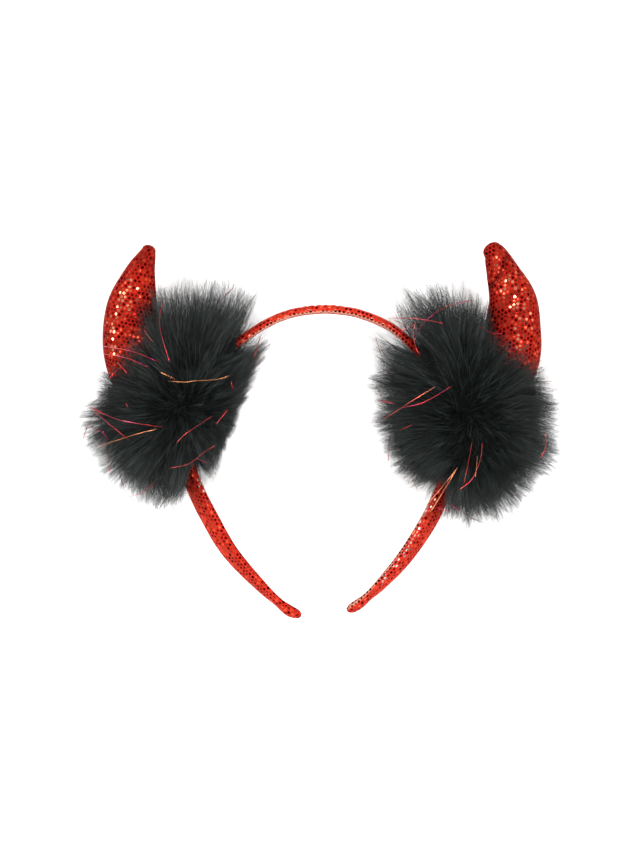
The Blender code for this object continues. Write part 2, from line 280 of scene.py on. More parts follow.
# Where it is in shade: towards the fur, and where a horn turns down to its seam
DIMS_LEFT = (
    GleamRow(-0.0700, 0.0480, -0.0600, 0.0250, 0.0080, 0.75),
    GleamRow(-0.0620, 0.0200, -0.0850, 0.0150, 0.0090, 0.85),
    GleamRow(-0.0757, 0.0780, -0.0780, 0.0740, 0.0040, 0.40),
)
DIMS_RIGHT = (
    GleamRow(0.0690, 0.0480, 0.0640, 0.0260, 0.0080, 0.75),
    GleamRow(0.0640, 0.0230, 0.0900, 0.0180, 0.0090, 0.80),
    GleamRow(0.0783, 0.0748, 0.0740, 0.0650, 0.0009, 0.85),
    GleamRow(0.0740, 0.0650, 0.0705, 0.0600, 0.0009, 0.85),
    GleamRow(0.0753, 0.0555, 0.0847, 0.0598, 0.0008, 0.60),
    GleamRow(0.0735, 0.0477, 0.0850, 0.0510, 0.0008, 0.55),
    GleamRow(0.0760, 0.0400, 0.0860, 0.0425, 0.0008, 0.45),
)
BAND_DIMS = (
    GleamRow(-0.0600, -0.0040, -0.0585, -0.0190, 0.0110, 0.75),
    GleamRow(0.0545, -0.0070, 0.0490, -0.0270, 0.0110, 0.60),
    GleamRow(-0.0420, 0.0340, -0.0540, 0.0200, 0.0090, 0.60),
    GleamRow(0.0400, 0.0340, 0.0500, 0.0220, 0.0090, 0.60),
)

# Half of the strip's section, from the middle of its inner face to the middle of its outer face
BAND_SECTION = (
    ShareRow(0.00, -1.00),
    ShareRow(0.62, -1.00),
    ShareRow(0.90, -0.80),
    ShareRow(1.00, -0.10),
    ShareRow(0.92, 0.66),
    ShareRow(0.60, 0.98),
    ShareRow(0.00, 1.12),
)

HORN_LEFT_ROWS = (
    HornRow(-0.0600, 0.0112, 0.0112, 0.0070),
    HornRow(-0.0712, 0.0160, 0.0129, 0.0078),
    HornRow(-0.0783, 0.0241, 0.0138, 0.0083),
    HornRow(-0.0821, 0.0340, 0.0133, 0.0083),
    HornRow(-0.0834, 0.0447, 0.0120, 0.0077),
    HornRow(-0.0824, 0.0555, 0.0104, 0.0068),
    HornRow(-0.0794, 0.0672, 0.0067, 0.0052),
    HornRow(-0.0768, 0.0739, 0.0042, 0.0037),
    HornRow(-0.0757, 0.0770, 0.0030, 0.0026),
)
HORN_RIGHT_ROWS = (
    HornRow(0.0548, 0.0095, 0.0110, 0.0070),
    HornRow(0.0655, 0.0140, 0.0130, 0.0078),
    HornRow(0.0742, 0.0219, 0.0140, 0.0083),
    HornRow(0.0791, 0.0331, 0.0138, 0.0084),
    HornRow(0.0808, 0.0447, 0.0120, 0.0078),
    HornRow(0.0806, 0.0555, 0.0104, 0.0070),
    HornRow(0.0769, 0.0662, 0.0076, 0.0057),
    HornRow(0.0737, 0.0741, 0.0054, 0.0043),
    HornRow(0.0718, 0.0770, 0.0042, 0.0034),
)
HORN_LEFT_CREASES = (
    CreaseRow(-0.0780, 0.0560, -0.0750, 0.0508, 0.0016, 0.0006),
    CreaseRow(-0.0900, 0.0420, -0.0790, 0.0385, 0.0018, 0.0007),
    CreaseRow(-0.0830, 0.0480, -0.0745, 0.0450, 0.0016, 0.0006),
)
HORN_RIGHT_CREASES = (
    CreaseRow(0.0783, 0.0740, 0.0740, 0.0650, 0.0015, 0.0011),
    CreaseRow(0.0740, 0.0650, 0.0705, 0.0600, 0.0015, 0.0011),
    CreaseRow(0.0753, 0.0555, 0.0847, 0.0598, 0.0017, 0.0009),
    CreaseRow(0.0735, 0.0477, 0.0850, 0.0510, 0.0017, 0.0009),
    CreaseRow(0.0760, 0.0400, 0.0860, 0.0425, 0.0018, 0.0007),
)

FUR_LEFT_REACH = (
    ReachRow(0, 0.0245),
    ReachRow(20, 0.0320),
    ReachRow(40, 0.0465),
    ReachRow(57, 0.0590),
    ReachRow(80, 0.0545),
    ReachRow(102, 0.0535),
    ReachRow(125, 0.0395),
    ReachRow(150, 0.0350),
    ReachRow(175, 0.0400),
    ReachRow(195, 0.0465),
    ReachRow(215, 0.0460),
    ReachRow(235, 0.0465),
    ReachRow(262, 0.0465),
    ReachRow(285, 0.0360),
    ReachRow(310, 0.0250),
    ReachRow(335, 0.0235),
)
FUR_RIGHT_REACH = (
    ReachRow(0, 0.0400),
    ReachRow(30, 0.0385),
    ReachRow(55, 0.0370),
    ReachRow(75, 0.0435),
    ReachRow(84, 0.0530),
    ReachRow(98, 0.0580),
    ReachRow(118, 0.0610),
    ReachRow(132, 0.0550),
    ReachRow(152, 0.0440),
    ReachRow(180, 0.0395),
    ReachRow(210, 0.0385),
    ReachRow(240, 0.0395),
    ReachRow(268, 0.0490),
    ReachRow(290, 0.0470),
    ReachRow(315, 0.0430),
    ReachRow(335, 0.0450),
)

# Metallic strands, where the photograph shows them
TINSEL_LEFT = (
    TinselRow(0.2, ((100.6, 346), (131, 351), (159, 362))),
    TinselRow(0.2, ((104, 354), (127, 358), (150, 368))),
    TinselRow(0.6, ((144, 330), (148, 336), (153, 342))),
    TinselRow(0.9, ((160, 372), (175, 379))),
    TinselRow(1.0, ((168, 381), (185, 382), (192, 381), (208, 380), (219, 379), (229, 375.5))),
    TinselRow(0.2, ((231, 381), (233, 390))),
    TinselRow(0.2, ((163, 302), (159, 320), (162, 337), (169.5, 362))),
    TinselRow(0.5, ((117, 362), (127, 373))),
    TinselRow(0.2, ((109, 379), (116, 371), (122, 367))),
    TinselRow(0.3, ((125.5, 403), (128, 408))),
    TinselRow(0.4, ((89, 406), (118, 419.5), (162, 427))),
    TinselRow(0.4, ((90, 407), (108, 423), (129, 440))),
    TinselRow(0.9, ((97, 447), (133, 435), (157, 429))),
    TinselRow(0.3, ((92, 429), (101, 431))),
    TinselRow(0.3, ((102, 431), (108, 440))),
    TinselRow(0.4, ((177, 442), (185, 434), (192.5, 429), (212, 416))),
    TinselRow(0.4, ((216, 424), (228, 409))),
    TinselRow(0.5, ((169.5, 468), (189, 463.5), (204, 452), (215.5, 445))),
    TinselRow(0.3, ((196, 458), (208, 463.5))),
    TinselRow(0.3, ((121, 499), (141, 493), (154, 483))),
)
TINSEL_RIGHT = (
    TinselRow(0.4, ((387, 318), (415, 318.5), (443, 323))),
    TinselRow(1.0, ((388, 318), (396, 321), (405, 325))),
    TinselRow(0.3, ((394.5, 338.5), (402, 331), (412, 325))),
    TinselRow(0.5, ((416, 321), (413, 332), (415, 345), (419, 354))),
    TinselRow(0.6, ((382.5, 420), (410, 402), (436, 386))),
    TinselRow(0.3, ((400, 408), (424, 402), (451.5, 386))),
    TinselRow(0.4, ((400, 430), (412, 425))),
    TinselRow(0.2, ((380, 400), (393, 403.5))),
    TinselRow(1.0, ((432, 510), (445, 488), (457, 467.5))),
    TinselRow(0.8, ((426, 505.5), (441, 488), (457, 468))),
    TinselRow(0.7, ((430, 512), (444, 490), (456, 470))),
    TinselRow(0.5, ((464, 482), (468, 464), (471.5, 443))),
    TinselRow(0.9, ((475, 477), (476.5, 466), (477, 456))),
    TinselRow(0.4, ((458.5, 490), (471.5, 479.5), (480, 460), (482, 443))),
    TinselRow(0.3, ((451, 504), (458.5, 511))),
    TinselRow(0.3, ((438, 508), (450, 512))),
    TinselRow(0.3, ((545, 434), (546, 445), (541, 459))),
)

HORN_SHAPES = {
    Side.LEFT: HornShape(HORN_LEFT_ROWS, HORN_LEFT_CREASES, GLEAMS_LEFT, DIMS_LEFT, dots_turn_deg=12.0),
    Side.RIGHT: HornShape(HORN_RIGHT_ROWS, HORN_RIGHT_CREASES, GLEAMS_RIGHT, DIMS_RIGHT, dots_turn_deg=-24.0),
}
PUFF_SHAPES = {
    Side.LEFT: PuffShape(
        middle=(-0.0602, 0.0103),
        core=(0.0150, 0.0100, 0.006),
        reach=FUR_LEFT_REACH,
        partings=(PartingRow(48, 0.033, 5.0), PartingRow(279, 0.028, 8.0)),
        tinsel=TINSEL_LEFT,
        fur_seed=11,
        tinsel_seed=7,
    ),
    Side.RIGHT: PuffShape(
        middle=(0.0602, 0.0060),
        core=(0.0070, 0.0220, 0.006),
        reach=FUR_RIGHT_REACH,
        partings=(PartingRow(131, 0.033, 4.5), PartingRow(247, 0.034, 7.0)),
        tinsel=TINSEL_RIGHT,
        fur_seed=23,
        tinsel_seed=8,
    ),
}
COATS = {
    Coat.UPPER: CoatRow(24500, 0.000070, overgrow=1.11, gather=1.0, pale_from=0.80),
    Coat.LOWER: CoatRow(15500, 0.000070, overgrow=1.11, gather=1.0, pale_from=0.80),
    Coat.GUARD: CoatRow(10500, 0.000042, overgrow=1.17, gather=0.55, pale_from=0.55),
}
LIGHTS = (
    LightRow("soft_left", (-0.62, 0.25, 0.95), 0.34, 6.0),
    LightRow("soft_right", (0.66, 0.18, 0.95), 0.34, 6.0),
    LightRow("soft_front", (0.0, -0.80, 0.90), 0.50, 5.0),
)


def catmull_rom(before: float, start: float, end: float, after: float, t: float) -> float:
    """A value on the smooth curve that runs from start to end.

    Args:
        before: The value ahead of the stretch.
        start: The value where the stretch begins.
        end: The value where it ends.
        after: The value past it.
        t: The share of the stretch that is covered.

    Returns:
        The value there.
    """
    bend = 2 * before - 5 * start + 4 * end - after
    sway = 3 * (start - end) + after - before
    return 0.5 * (2 * start + (end - before) * t + bend * t * t + sway * t * t * t)


def smooth_rows(rows: Sequence[Any], steps: int) -> list[Any]:
    """Rows of the same kind, with a smooth curve through each column of the table.

    Args:
        rows: The table.
        steps: How many rows each stretch is divided into.

    Returns:
        The finer table.
    """
    kind = type(rows[0])
    smooth = []
    for i in range(len(rows) - 1):
        four = (rows[max(i - 1, 0)], rows[i], rows[i + 1], rows[min(i + 2, len(rows) - 1)])
        for step in range(steps):
            smooth.append(kind(*(catmull_rom(*column, step / steps) for column in zip(*four))))
    smooth.append(rows[-1])
    return smooth


def headings(points: Sequence[Vector]) -> list[Vector]:
    """The direction of travel at each point of a path."""
    last = len(points) - 1
    return [(points[min(i + 1, last)] - points[max(i - 1, 0)]).normalized() for i in range(len(points))]


def running_length(points: Sequence[Vector]) -> list[float]:
    """How far along a path each of its points lies.

    Args:
        points: The path.

    Returns:
        The length up to each point.
    """
    lengths = [0.0]
    for near, far in zip(points, points[1:]):
        lengths.append(lengths[-1] + (far - near).length)
    return lengths


def smooth_step(low: float, high: float, value: float) -> float:
    """A share that rises gently from 0 at low to 1 at high."""
    share = min(max((value - low) / (high - low), 0.0), 1.0)
    return share * share * (3 - 2 * share)


def bell(away: float, width: float) -> float:
    """A share that falls from 1 at no distance to nearly 0 at twice the width."""
    return math.exp(-((away / width) ** 2))


def skin(
    name: str, rings: Sequence[Sequence[Vector]], uvs: Sequence[Sequence[Sequence[tuple]]]
) -> bpy.types.Mesh:
    """A closed mesh through rings of the same number of points, with its own UV map in metres.

    Args:
        name: The mesh's name.
        rings: The points of each ring.
        uvs: For each ring and each of its faces, the two corners that the face has on that ring.

    Returns:
        The mesh, closed at both ends.
    """
    shape = bmesh.new()
    layer = shape.loops.layers.uv.new(UV_NAME)
    loops = [[shape.verts.new(point) for point in ring] for ring in rings]
    count = len(rings[0])
    for i in range(len(rings) - 1):
        for k in range(count):
            following = (k + 1) % count
            low, high = loops[i], loops[i + 1]
            face = shape.faces.new((low[k], low[following], high[following], high[k]))
            near, far = uvs[i][k], uvs[i + 1][k]
            for corner, uv in zip(face.loops, (near[0], near[1], far[1], far[0])):
                corner[layer].uv = uv
    for i, order in ((0, range(count - 1, -1, -1)), (len(rings) - 1, range(count))):
        face = shape.faces.new([loops[i][k] for k in order])
        for corner, k in zip(face.loops, order):
            corner[layer].uv = uvs[i][k][0]
    bmesh.ops.recalc_face_normals(shape, faces=shape.faces)
    return finished_mesh(name, shape)


def finished_mesh(name: str, shape: bmesh.types.BMesh) -> bpy.types.Mesh:
    """A smooth mesh from a shape under construction, which is freed.

    Args:
        name: The mesh's name.
        shape: The shape.

    Returns:
        The mesh.
    """
    mesh = bpy.data.meshes.new(name)
    shape.to_mesh(mesh)
    shape.free()
    mesh.shade_smooth()
    return mesh


def place(name: str, mesh: bpy.types.Mesh, material: bpy.types.Material | None = None) -> bpy.types.Object:
    """A new object at the origin that shows the mesh.

    Args:
        name: The object's name.
        mesh: What it shows.
        material: Its only material, if it has none yet.

    Returns:
        The object.
    """
    thing = bpy.data.objects.new(name, mesh)
    if material is not None:
        mesh.materials.clear()
        mesh.materials.append(material)
    bpy.context.scene.collection.objects.link(thing)
    return thing


def remove(thing: bpy.types.Object) -> None:
    """Delete an object that was only a guide."""
    bpy.data.objects.remove(thing, do_unlink=True)


def settle(name: str, guide: bpy.types.Object, *others: bpy.types.Object) -> bpy.types.Object:
    """Turn what a guide's modifiers make into a plain object, and remove the guides.

    Args:
        name: The finished object's name.
        guide: The object whose modifiers are read.
        others: Further guides that it needed.

    Returns:
        The finished object.
    """
    bpy.context.view_layer.update()
    ready = guide.evaluated_get(bpy.context.evaluated_depsgraph_get())
    mesh = bpy.data.meshes.new_from_object(ready)
    mesh.name = name
    guide.modifiers.clear()
    for thing in (guide, *others):
        remove(thing)
    return place(name, mesh)


def fade_from(row: GleamRow | CreaseRow, x: float, y: float) -> float:
    """How much of a streak or a crease is left at one place in plan: 1 on its line, and less beside it.

    Args:
        row: The streak or crease.
        x: Across.
        y: Towards the crown.

    Returns:
        The share.
    """
    start = Vector((row.x_from, row.y_from))
    run = Vector((row.x_to, row.y_to)) - start
    spot = Vector((x, y)) - start
    share = min(max(spot.dot(run) / run.length_squared, 0.0), 1.0)
    return bell((spot - run * share).length, row.width)


def streaks_at(x: float, y: float, streaks: Sequence[GleamRow]) -> float:
    """How strongly the strongest of some streaks shows at one place in plan."""
    return max(streak.strength * fade_from(streak, x, y) for streak in streaks)


def edge_at(height: float) -> float:
    """How near a point of a stuffed horn is to its edge, told from its height over the band's level."""
    return smooth_step(RIM_SHADE_START, RIM_SHADE_FULL, abs(height - BAND_LEVEL))


def store_shading(
    mesh: bpy.types.Mesh, gleams: Sequence[GleamRow], dims: Sequence[GleamRow], rim: float = 0.0
) -> None:
    """Store on a piece of cloth where it gleams and where it is in shade.

    Args:
        mesh: The cloth.
        gleams: The streaks of light.
        dims: The streaks of shade.
        rim: How dark it is where it turns down to its edge.
    """
    for name, streaks in (("gleam", gleams), ("dim", dims)):
        layer = mesh.attributes.new(name, "FLOAT", "POINT")
        values = [streaks_at(vert.co.x, vert.co.y, streaks) for vert in mesh.vertices]
        if name == "dim":
            values = [max(value, rim * edge_at(vert.co.z)) for value, vert in zip(values, mesh.vertices)]
        layer.data.foreach_set("value", values)


def report_piece(piece: bpy.types.Object) -> None:
    """Log a finished piece and how many triangles it has."""
    piece.data.calc_loop_triangles()
    LOG.info("%s: %d triangles", piece.name, len(piece.data.loop_triangles))


class Wire:
    """A socket of a node tree, on which Python's operators add Math and Vector Math nodes."""

    def __init__(self, graph: "Graph", socket: bpy.types.NodeSocket) -> None:
        """Wrap an output socket of the graph's tree."""
        self.graph = graph
        self.socket = socket

    @property
    def is_vector(self) -> bool:
        """Whether the socket carries a vector."""
        return self.socket.type == "VECTOR"

    def math(self, operation: str, *others: "Wire | float | tuple") -> "Wire":
        """The result of one operation on this wire and the others.

        Args:
            operation: The Math or Vector Math node's operation.
            others: What else it works on.

        Returns:
            The result, a vector if any of the values is one.
        """
        return self.graph.maths(operation, (self, *others))

    def swapped(self, operation: str, other: "float | tuple") -> "Wire":
        """The result of an operation that has this wire on its right."""
        return self.graph.maths(operation, (other, self))

    def __add__(self, other: "Wire | float | tuple") -> "Wire":
        """Addition."""
        return self.math("ADD", other)

    __radd__ = __add__

    def __sub__(self, other: "Wire | float | tuple") -> "Wire":
        """Subtraction."""
        return self.math("SUBTRACT", other)

    def __rsub__(self, other: "float | tuple") -> "Wire":
        """Subtraction from a plain value."""
        return self.swapped("SUBTRACT", other)

    def __mul__(self, other: "Wire | float | tuple") -> "Wire":
        """Multiplication, or the scaling of a vector by a number.

        Args:
            other: The other factor.

        Returns:
            The product.
        """
        plain = isinstance(other, (int, float)) or (isinstance(other, Wire) and not other.is_vector)
        if self.is_vector and plain:
            return self.graph.node("ShaderNodeVectorMath", {"operation": "SCALE"}, {0: self, "Scale": other})
        return self.math("MULTIPLY", other)

    __rmul__ = __mul__

    def __truediv__(self, other: "Wire | float") -> "Wire":
        """Division of numbers."""
        return self.math("DIVIDE", other)

    def __pow__(self, other: "Wire | float") -> "Wire":
        """Power of numbers."""
        return self.math("POWER", other)

    def at_least(self, other: "Wire | float") -> "Wire":
        """The larger of the two."""
        return self.math("MAXIMUM", other)

    def at_most(self, other: "Wire | float") -> "Wire":
        """The smaller of the two."""
        return self.math("MINIMUM", other)

    def below(self, other: "Wire | float") -> "Wire":
        """1 where this is the smaller one, and 0 elsewhere."""
        return self.math("LESS_THAN", other)

    def floor(self) -> "Wire":
        """The whole number at or under this."""
        return self.math("FLOOR")

    def fraction(self) -> "Wire":
        """What is left of this over its whole number."""
        return self.math("FRACT")

    def sine(self) -> "Wire":
        """The sine."""
        return self.math("SINE")

    def ramp(self, low: float, high: float) -> "Wire":
        """A share that rises gently from 0 at low to 1 at high, or falls where low is the larger."""
        names = {"Value": self, "From Min": low, "From Max": high}
        return self.graph.node("ShaderNodeMapRange", {"interpolation_type": "SMOOTHSTEP"}, names)

    def dot(self, other: "Wire | tuple") -> "Wire":
        """The dot product of two vectors."""
        values = {0: self, 1: other}
        return self.graph.node("ShaderNodeVectorMath", {"operation": "DOT_PRODUCT"}, values, "Value")

    def length(self) -> "Wire":
        """A vector's length."""
        return self.graph.node("ShaderNodeVectorMath", {"operation": "LENGTH"}, {0: self}, "Value")

    def unit(self) -> "Wire":
        """The vector drawn to a length of 1."""
        return self.graph.node("ShaderNodeVectorMath", {"operation": "NORMALIZE"}, {0: self})

    def parts(self) -> "tuple[Wire, Wire, Wire]":
        """A vector's X, Y and Z."""
        node = self.graph.add("ShaderNodeSeparateXYZ", {}, {0: self})
        return tuple(Wire(self.graph, node.outputs[axis]) for axis in "XYZ")

    def channels(self) -> "tuple[Wire, Wire, Wire]":
        """A colour's red, green and blue."""
        node = self.graph.add("ShaderNodeSeparateColor", {}, {0: self})
        return tuple(Wire(self.graph, node.outputs[name]) for name in ("Red", "Green", "Blue"))


class Graph:
    """A node tree that is written with expressions on Wire."""

    def __init__(self, tree: bpy.types.NodeTree) -> None:
        """Write into the given tree."""
        self.tree = tree

    def add(self, kind: str, settings: dict[str, Any], values: dict[int | str, Any]) -> bpy.types.Node:
        """A new node, with its settings set first and then its inputs.

        Args:
            kind: The node's type.
            settings: Its own properties.
            values: What each input takes, by its place or its name: a wire, a number, a vector or a name.

        Returns:
            The node.
        """
        node = self.tree.nodes.new(kind)
        for name, value in settings.items():
            setattr(node, name, value)
        for key, value in values.items():
            socket = node.inputs[key] if isinstance(key, int) else self.socket(node.inputs, key)
            if isinstance(value, Wire):
                self.tree.links.new(value.socket, socket)
            else:
                socket.default_value = value
        return node

    @staticmethod
    def socket(sockets: Any, name: str) -> bpy.types.NodeSocket:
        """The socket with that name which the node's settings leave in use."""
        return next(socket for socket in sockets if socket.enabled and socket.name == name)

    def node(
        self, kind: str, settings: dict[str, Any], values: dict[int | str, Any], output: str | None = None
    ) -> Wire:
        """A new node's output.

        Args:
            kind: The node's type.
            settings: Its own properties.
            values: What each input takes.
            output: The name of the output, or None for the first one in use.

        Returns:
            A wire from that output.
        """
        node = self.add(kind, settings, values)
        if output is None:
            return Wire(self, next(socket for socket in node.outputs if socket.enabled))
        return Wire(self, self.socket(node.outputs, output))

    def maths(self, operation: str, values: Sequence[Any]) -> Wire:
        """The result of a Math node, or of a Vector Math node if any of its values is a vector.

        Args:
            operation: The node's operation.
            values: What it works on, in order.

        Returns:
            The result.
        """
        vectors = any(isinstance(value, tuple) or getattr(value, "is_vector", False) for value in values)
        kind = "ShaderNodeVectorMath" if vectors else "ShaderNodeMath"
        return self.node(kind, {"operation": operation}, dict(enumerate(values)))

    def vector(self, x: Wire | float, y: Wire | float, z: Wire | float) -> Wire:
        """A vector from three numbers."""
        return self.node("ShaderNodeCombineXYZ", {}, {0: x, 1: y, 2: z})

    def mix(self, factor: Wire | float, low: Any, high: Any, kind: str = "FLOAT") -> Wire:
        """A blend from low to high.

        Args:
            factor: The share of high.
            low: The value at 0.
            high: The value at 1.
            kind: FLOAT, VECTOR or RGBA.

        Returns:
            The blend.
        """
        values = {"Factor": factor, "A": low, "B": high}
        return self.node("ShaderNodeMix", {"data_type": kind}, values, "Result")

    def noise(self, vector: Wire, scale: float, detail: float = 2.0, output: str = "Fac") -> Wire:
        """Smooth noise over a vector."""
        values = {"Vector": vector, "Scale": scale, "Detail": detail}
        return self.node("ShaderNodeTexNoise", {}, values, output)

    def attribute(self, name: str) -> Wire:
        """A number that the piece stores at each of its points."""
        return self.node("ShaderNodeAttribute", {"attribute_name": name}, {}, "Fac")

    def bump(self, height: Wire, strength: float, distance: float, normal: Wire | None = None) -> Wire:
        """A normal that follows a height.

        Args:
            height: The height over the surface, from 0 to 1.
            strength: How much of it shows.
            distance: What a height of 1 stands for.
            normal: The normal that it is laid on, if not the surface's own.

        Returns:
            The normal.
        """
        values = {"Height": height, "Strength": strength, "Distance": distance}
        if normal is not None:
            values["Normal"] = normal
        return self.node("ShaderNodeBump", {}, values)

    def chance(self, vector: Wire, output: str = "Value") -> Wire:
        """A random number, or three of them as a colour, that is the same all over one cell."""
        return self.node("ShaderNodeTexWhiteNoise", {"noise_dimensions": "3D"}, {"Vector": vector}, output)


class Finish:
    """A material whose surface is one Principled shader."""

    def __init__(self, name: str) -> None:
        """Start the material.

        Args:
            name: Its name.
        """
        self.material = bpy.data.materials.new(name)
        self.material.use_nodes = True
        self.graph = Graph(self.material.node_tree)
        self.shader = self.material.node_tree.nodes["Principled BSDF"]

    def surface(self, **values: Any) -> bpy.types.Material:
        """Set the shader's sockets and hand over the material.

        Args:
            values: What each socket takes, by its name with underscores for spaces.

        Returns:
            The material.
        """
        for key, value in values.items():
            socket = self.shader.inputs[key.replace("_", " ").title().replace("Ior", "IOR")]
            if isinstance(value, Wire):
                self.graph.tree.links.new(value.socket, socket)
            else:
                socket.default_value = value
        return self.material

    def uv(self) -> Wire:
        """The piece's own UV map."""
        return self.graph.node("ShaderNodeUVMap", {"uv_map": UV_NAME}, {})

    def position(self) -> Wire:
        """Where the surface is, in the piece's own space."""
        return self.graph.node("ShaderNodeTexCoord", {}, {}, "Object")


@dataclass(frozen=True)
class FoilDotCloth:
    """Stretchy red satin with a close honeycomb of round mirror-like foil dots pressed on."""

    pitch: float = 0.00180
    dot_radius: float = 0.00066
    dot_tilt: float = 0.40
    dot_edge: tuple = (1.06, 0.90)
    ring_inner: tuple = (1.00, 1.20)
    ring_outer: tuple = (1.62, 1.30)
    raggedness: float = 0.30
    ragged_scale: float = 2600
    size_variety: float = 0.12
    size_shift: float = 0.15
    drift_scale: float = 95
    drift_range: tuple = (0.35, 0.70)
    spark_range: tuple = (0.80, 1.15)
    ground: tuple = (0.290, 0.0032, 0.0016, 1)
    ground_light: tuple = (0.540, 0.0150, 0.0060, 1)
    # The dots: the foil's red, darkened for the dark room that the mirror-like foil reflects (painted
    # reflection); a lighter red for a random few; and the spark colour for painted glints
    foil: tuple = (0.095, 0.0020, 0.0020, 1)
    foil_light: tuple = (0.800, 0.1000, 0.0450, 1)
    # Painted glare, where the cloth turns over the band's inner edge
    edge: tuple = (0.700, 0.4200, 0.3000, 1)
    shade: tuple = (0.085, 0.0030, 0.0025, 1)
    spark: tuple = (1.000, 0.4600, 0.2600, 1)
    sheen: tuple = (1.000, 0.4800, 0.4000, 1)
    knit_pitch: float = 0.00042
    knit_height: float = 0.25
    dot_height: float = 0.6
    wrinkle_scale: float = 900
    wrinkle_height: float = 0.5
    relief: float = 0.00008

    def lattices(self, u: Wire, v: Wire) -> list[tuple[Wire, Wire]]:
        """The two rectangular lattices of dots that make up the honeycomb.

        Args:
            u: Along the rows of dots.
            v: Across them.

        Returns:
            For each lattice, how far off its nearest dot's middle a place is, in radii, and that dot's cell.
        """
        graph, row = u.graph, self.pitch * math.sqrt(3)
        found = []
        for shift in (0.0, 0.5):
            across, along = u / self.pitch + shift, v / row + shift
            beside, beyond = (across.fraction() - 0.5) * self.pitch, (along.fraction() - 0.5) * row
            off_middle = graph.vector(beside, beyond, 0).length() / self.dot_radius
            found.append((off_middle, graph.vector(across.floor(), along.floor(), shift)))
        return found

    def material(self, name: str, turn_deg: float, pale_edge: bool = False) -> bpy.types.Material:
        """The cloth, with its rows of dots turned on the panel.

        Args:
            name: The material's name.
            turn_deg: How far the rows of dots are turned from the UV map's U.
            pale_edge: Whether the piece stores where a painted glare makes the cloth pale over an edge.

        Returns:
            The material.
        """
        finish = Finish(name)
        graph = finish.graph
        turned = {"Vector": finish.uv(), "Angle": math.radians(turn_deg)}
        u, v, _ = graph.node("ShaderNodeVectorRotate", {"rotation_type": "Z_AXIS"}, turned).parts()
        (first, first_cell), (second, second_cell) = self.lattices(u, v)
        cell = graph.mix(second.below(first), first_cell, second_cell, "VECTOR")
        luck_x, luck_y, luck_z = graph.chance(cell, "Color").channels()
        ragged = graph.noise(finish.uv(), self.ragged_scale, 1) * self.raggedness
        off_middle = first.at_most(second) + ragged + luck_z * self.size_variety - self.size_shift
        dot = off_middle.ramp(*self.dot_edge)
        ring = off_middle.ramp(*self.ring_inner) * off_middle.ramp(*self.ring_outer)
        drift = graph.noise(finish.position(), self.drift_scale, 3).ramp(*self.drift_range)
        ground = graph.mix(drift * 0.55, self.ground, self.ground_light, "RGBA")
        ground = graph.mix(ring * 0.35, ground, self.ground_light, "RGBA")
        foil = graph.mix(luck_z ** 2.4, self.foil, self.foil_light, "RGBA")
        gleam, dim = graph.attribute("gleam"), graph.attribute("dim")
        # Painted glints: a random share of the dots take the spark colour, and more of them within the
        # painted gleams
        lit = (luck_x * 0.75 + gleam).ramp(*self.spark_range)
        foil = graph.mix(lit, foil, self.spark, "RGBA")
        ground = graph.mix(gleam * 0.35, ground, self.ground_light, "RGBA")
        ground = graph.mix(dim, ground, self.shade, "RGBA")
        foil = graph.mix(dim * 0.8, foil, self.foil, "RGBA")
        # Painted glare along the band's inner edge
        if pale_edge:
            ground = graph.mix(graph.attribute("pale"), ground, self.edge, "RGBA")
        knit_turn = math.tau / self.knit_pitch
        knit = (u * knit_turn).sine() * (v * knit_turn).sine()
        lean_x, lean_y = ((luck - 0.5) * dot * self.dot_tilt + 0.5 for luck in (luck_x, luck_y))
        lean = graph.vector(lean_x, lean_y, 1)
        tilted = graph.node("ShaderNodeNormalMap", {"uv_map": UV_NAME}, {"Color": lean})
        wrinkles = graph.noise(finish.uv(), self.wrinkle_scale, 2) * self.wrinkle_height
        height = knit * (1 - dot) * self.knit_height + dot * self.dot_height + wrinkles
        return finish.surface(
            base_color=graph.mix(dot, ground, foil, "RGBA"),
            roughness=graph.mix(dot, drift * 0.10 + 0.50, luck_z * 0.12 + 0.20),
            metallic=dot * 0.78 + 0.20,
            specular_tint=self.sheen,
            specular_ior_level=0.18,
            normal=graph.bump(height, 0.5, self.relief, tilted),
        )

    def brightened(self) -> "FoilDotCloth":
        """The same cloth as it is over the band: painted lighter than over the horns, with whiter painted
        glints.

        Returns:
            The cloth.
        """
        return replace(
            self,
            ground=(0.500, 0.0120, 0.0060, 1),
            ground_light=(0.780, 0.0420, 0.0200, 1),
            foil=(0.130, 0.0030, 0.0025, 1),
            spark=(1.000, 0.8200, 0.7200, 1),
        )


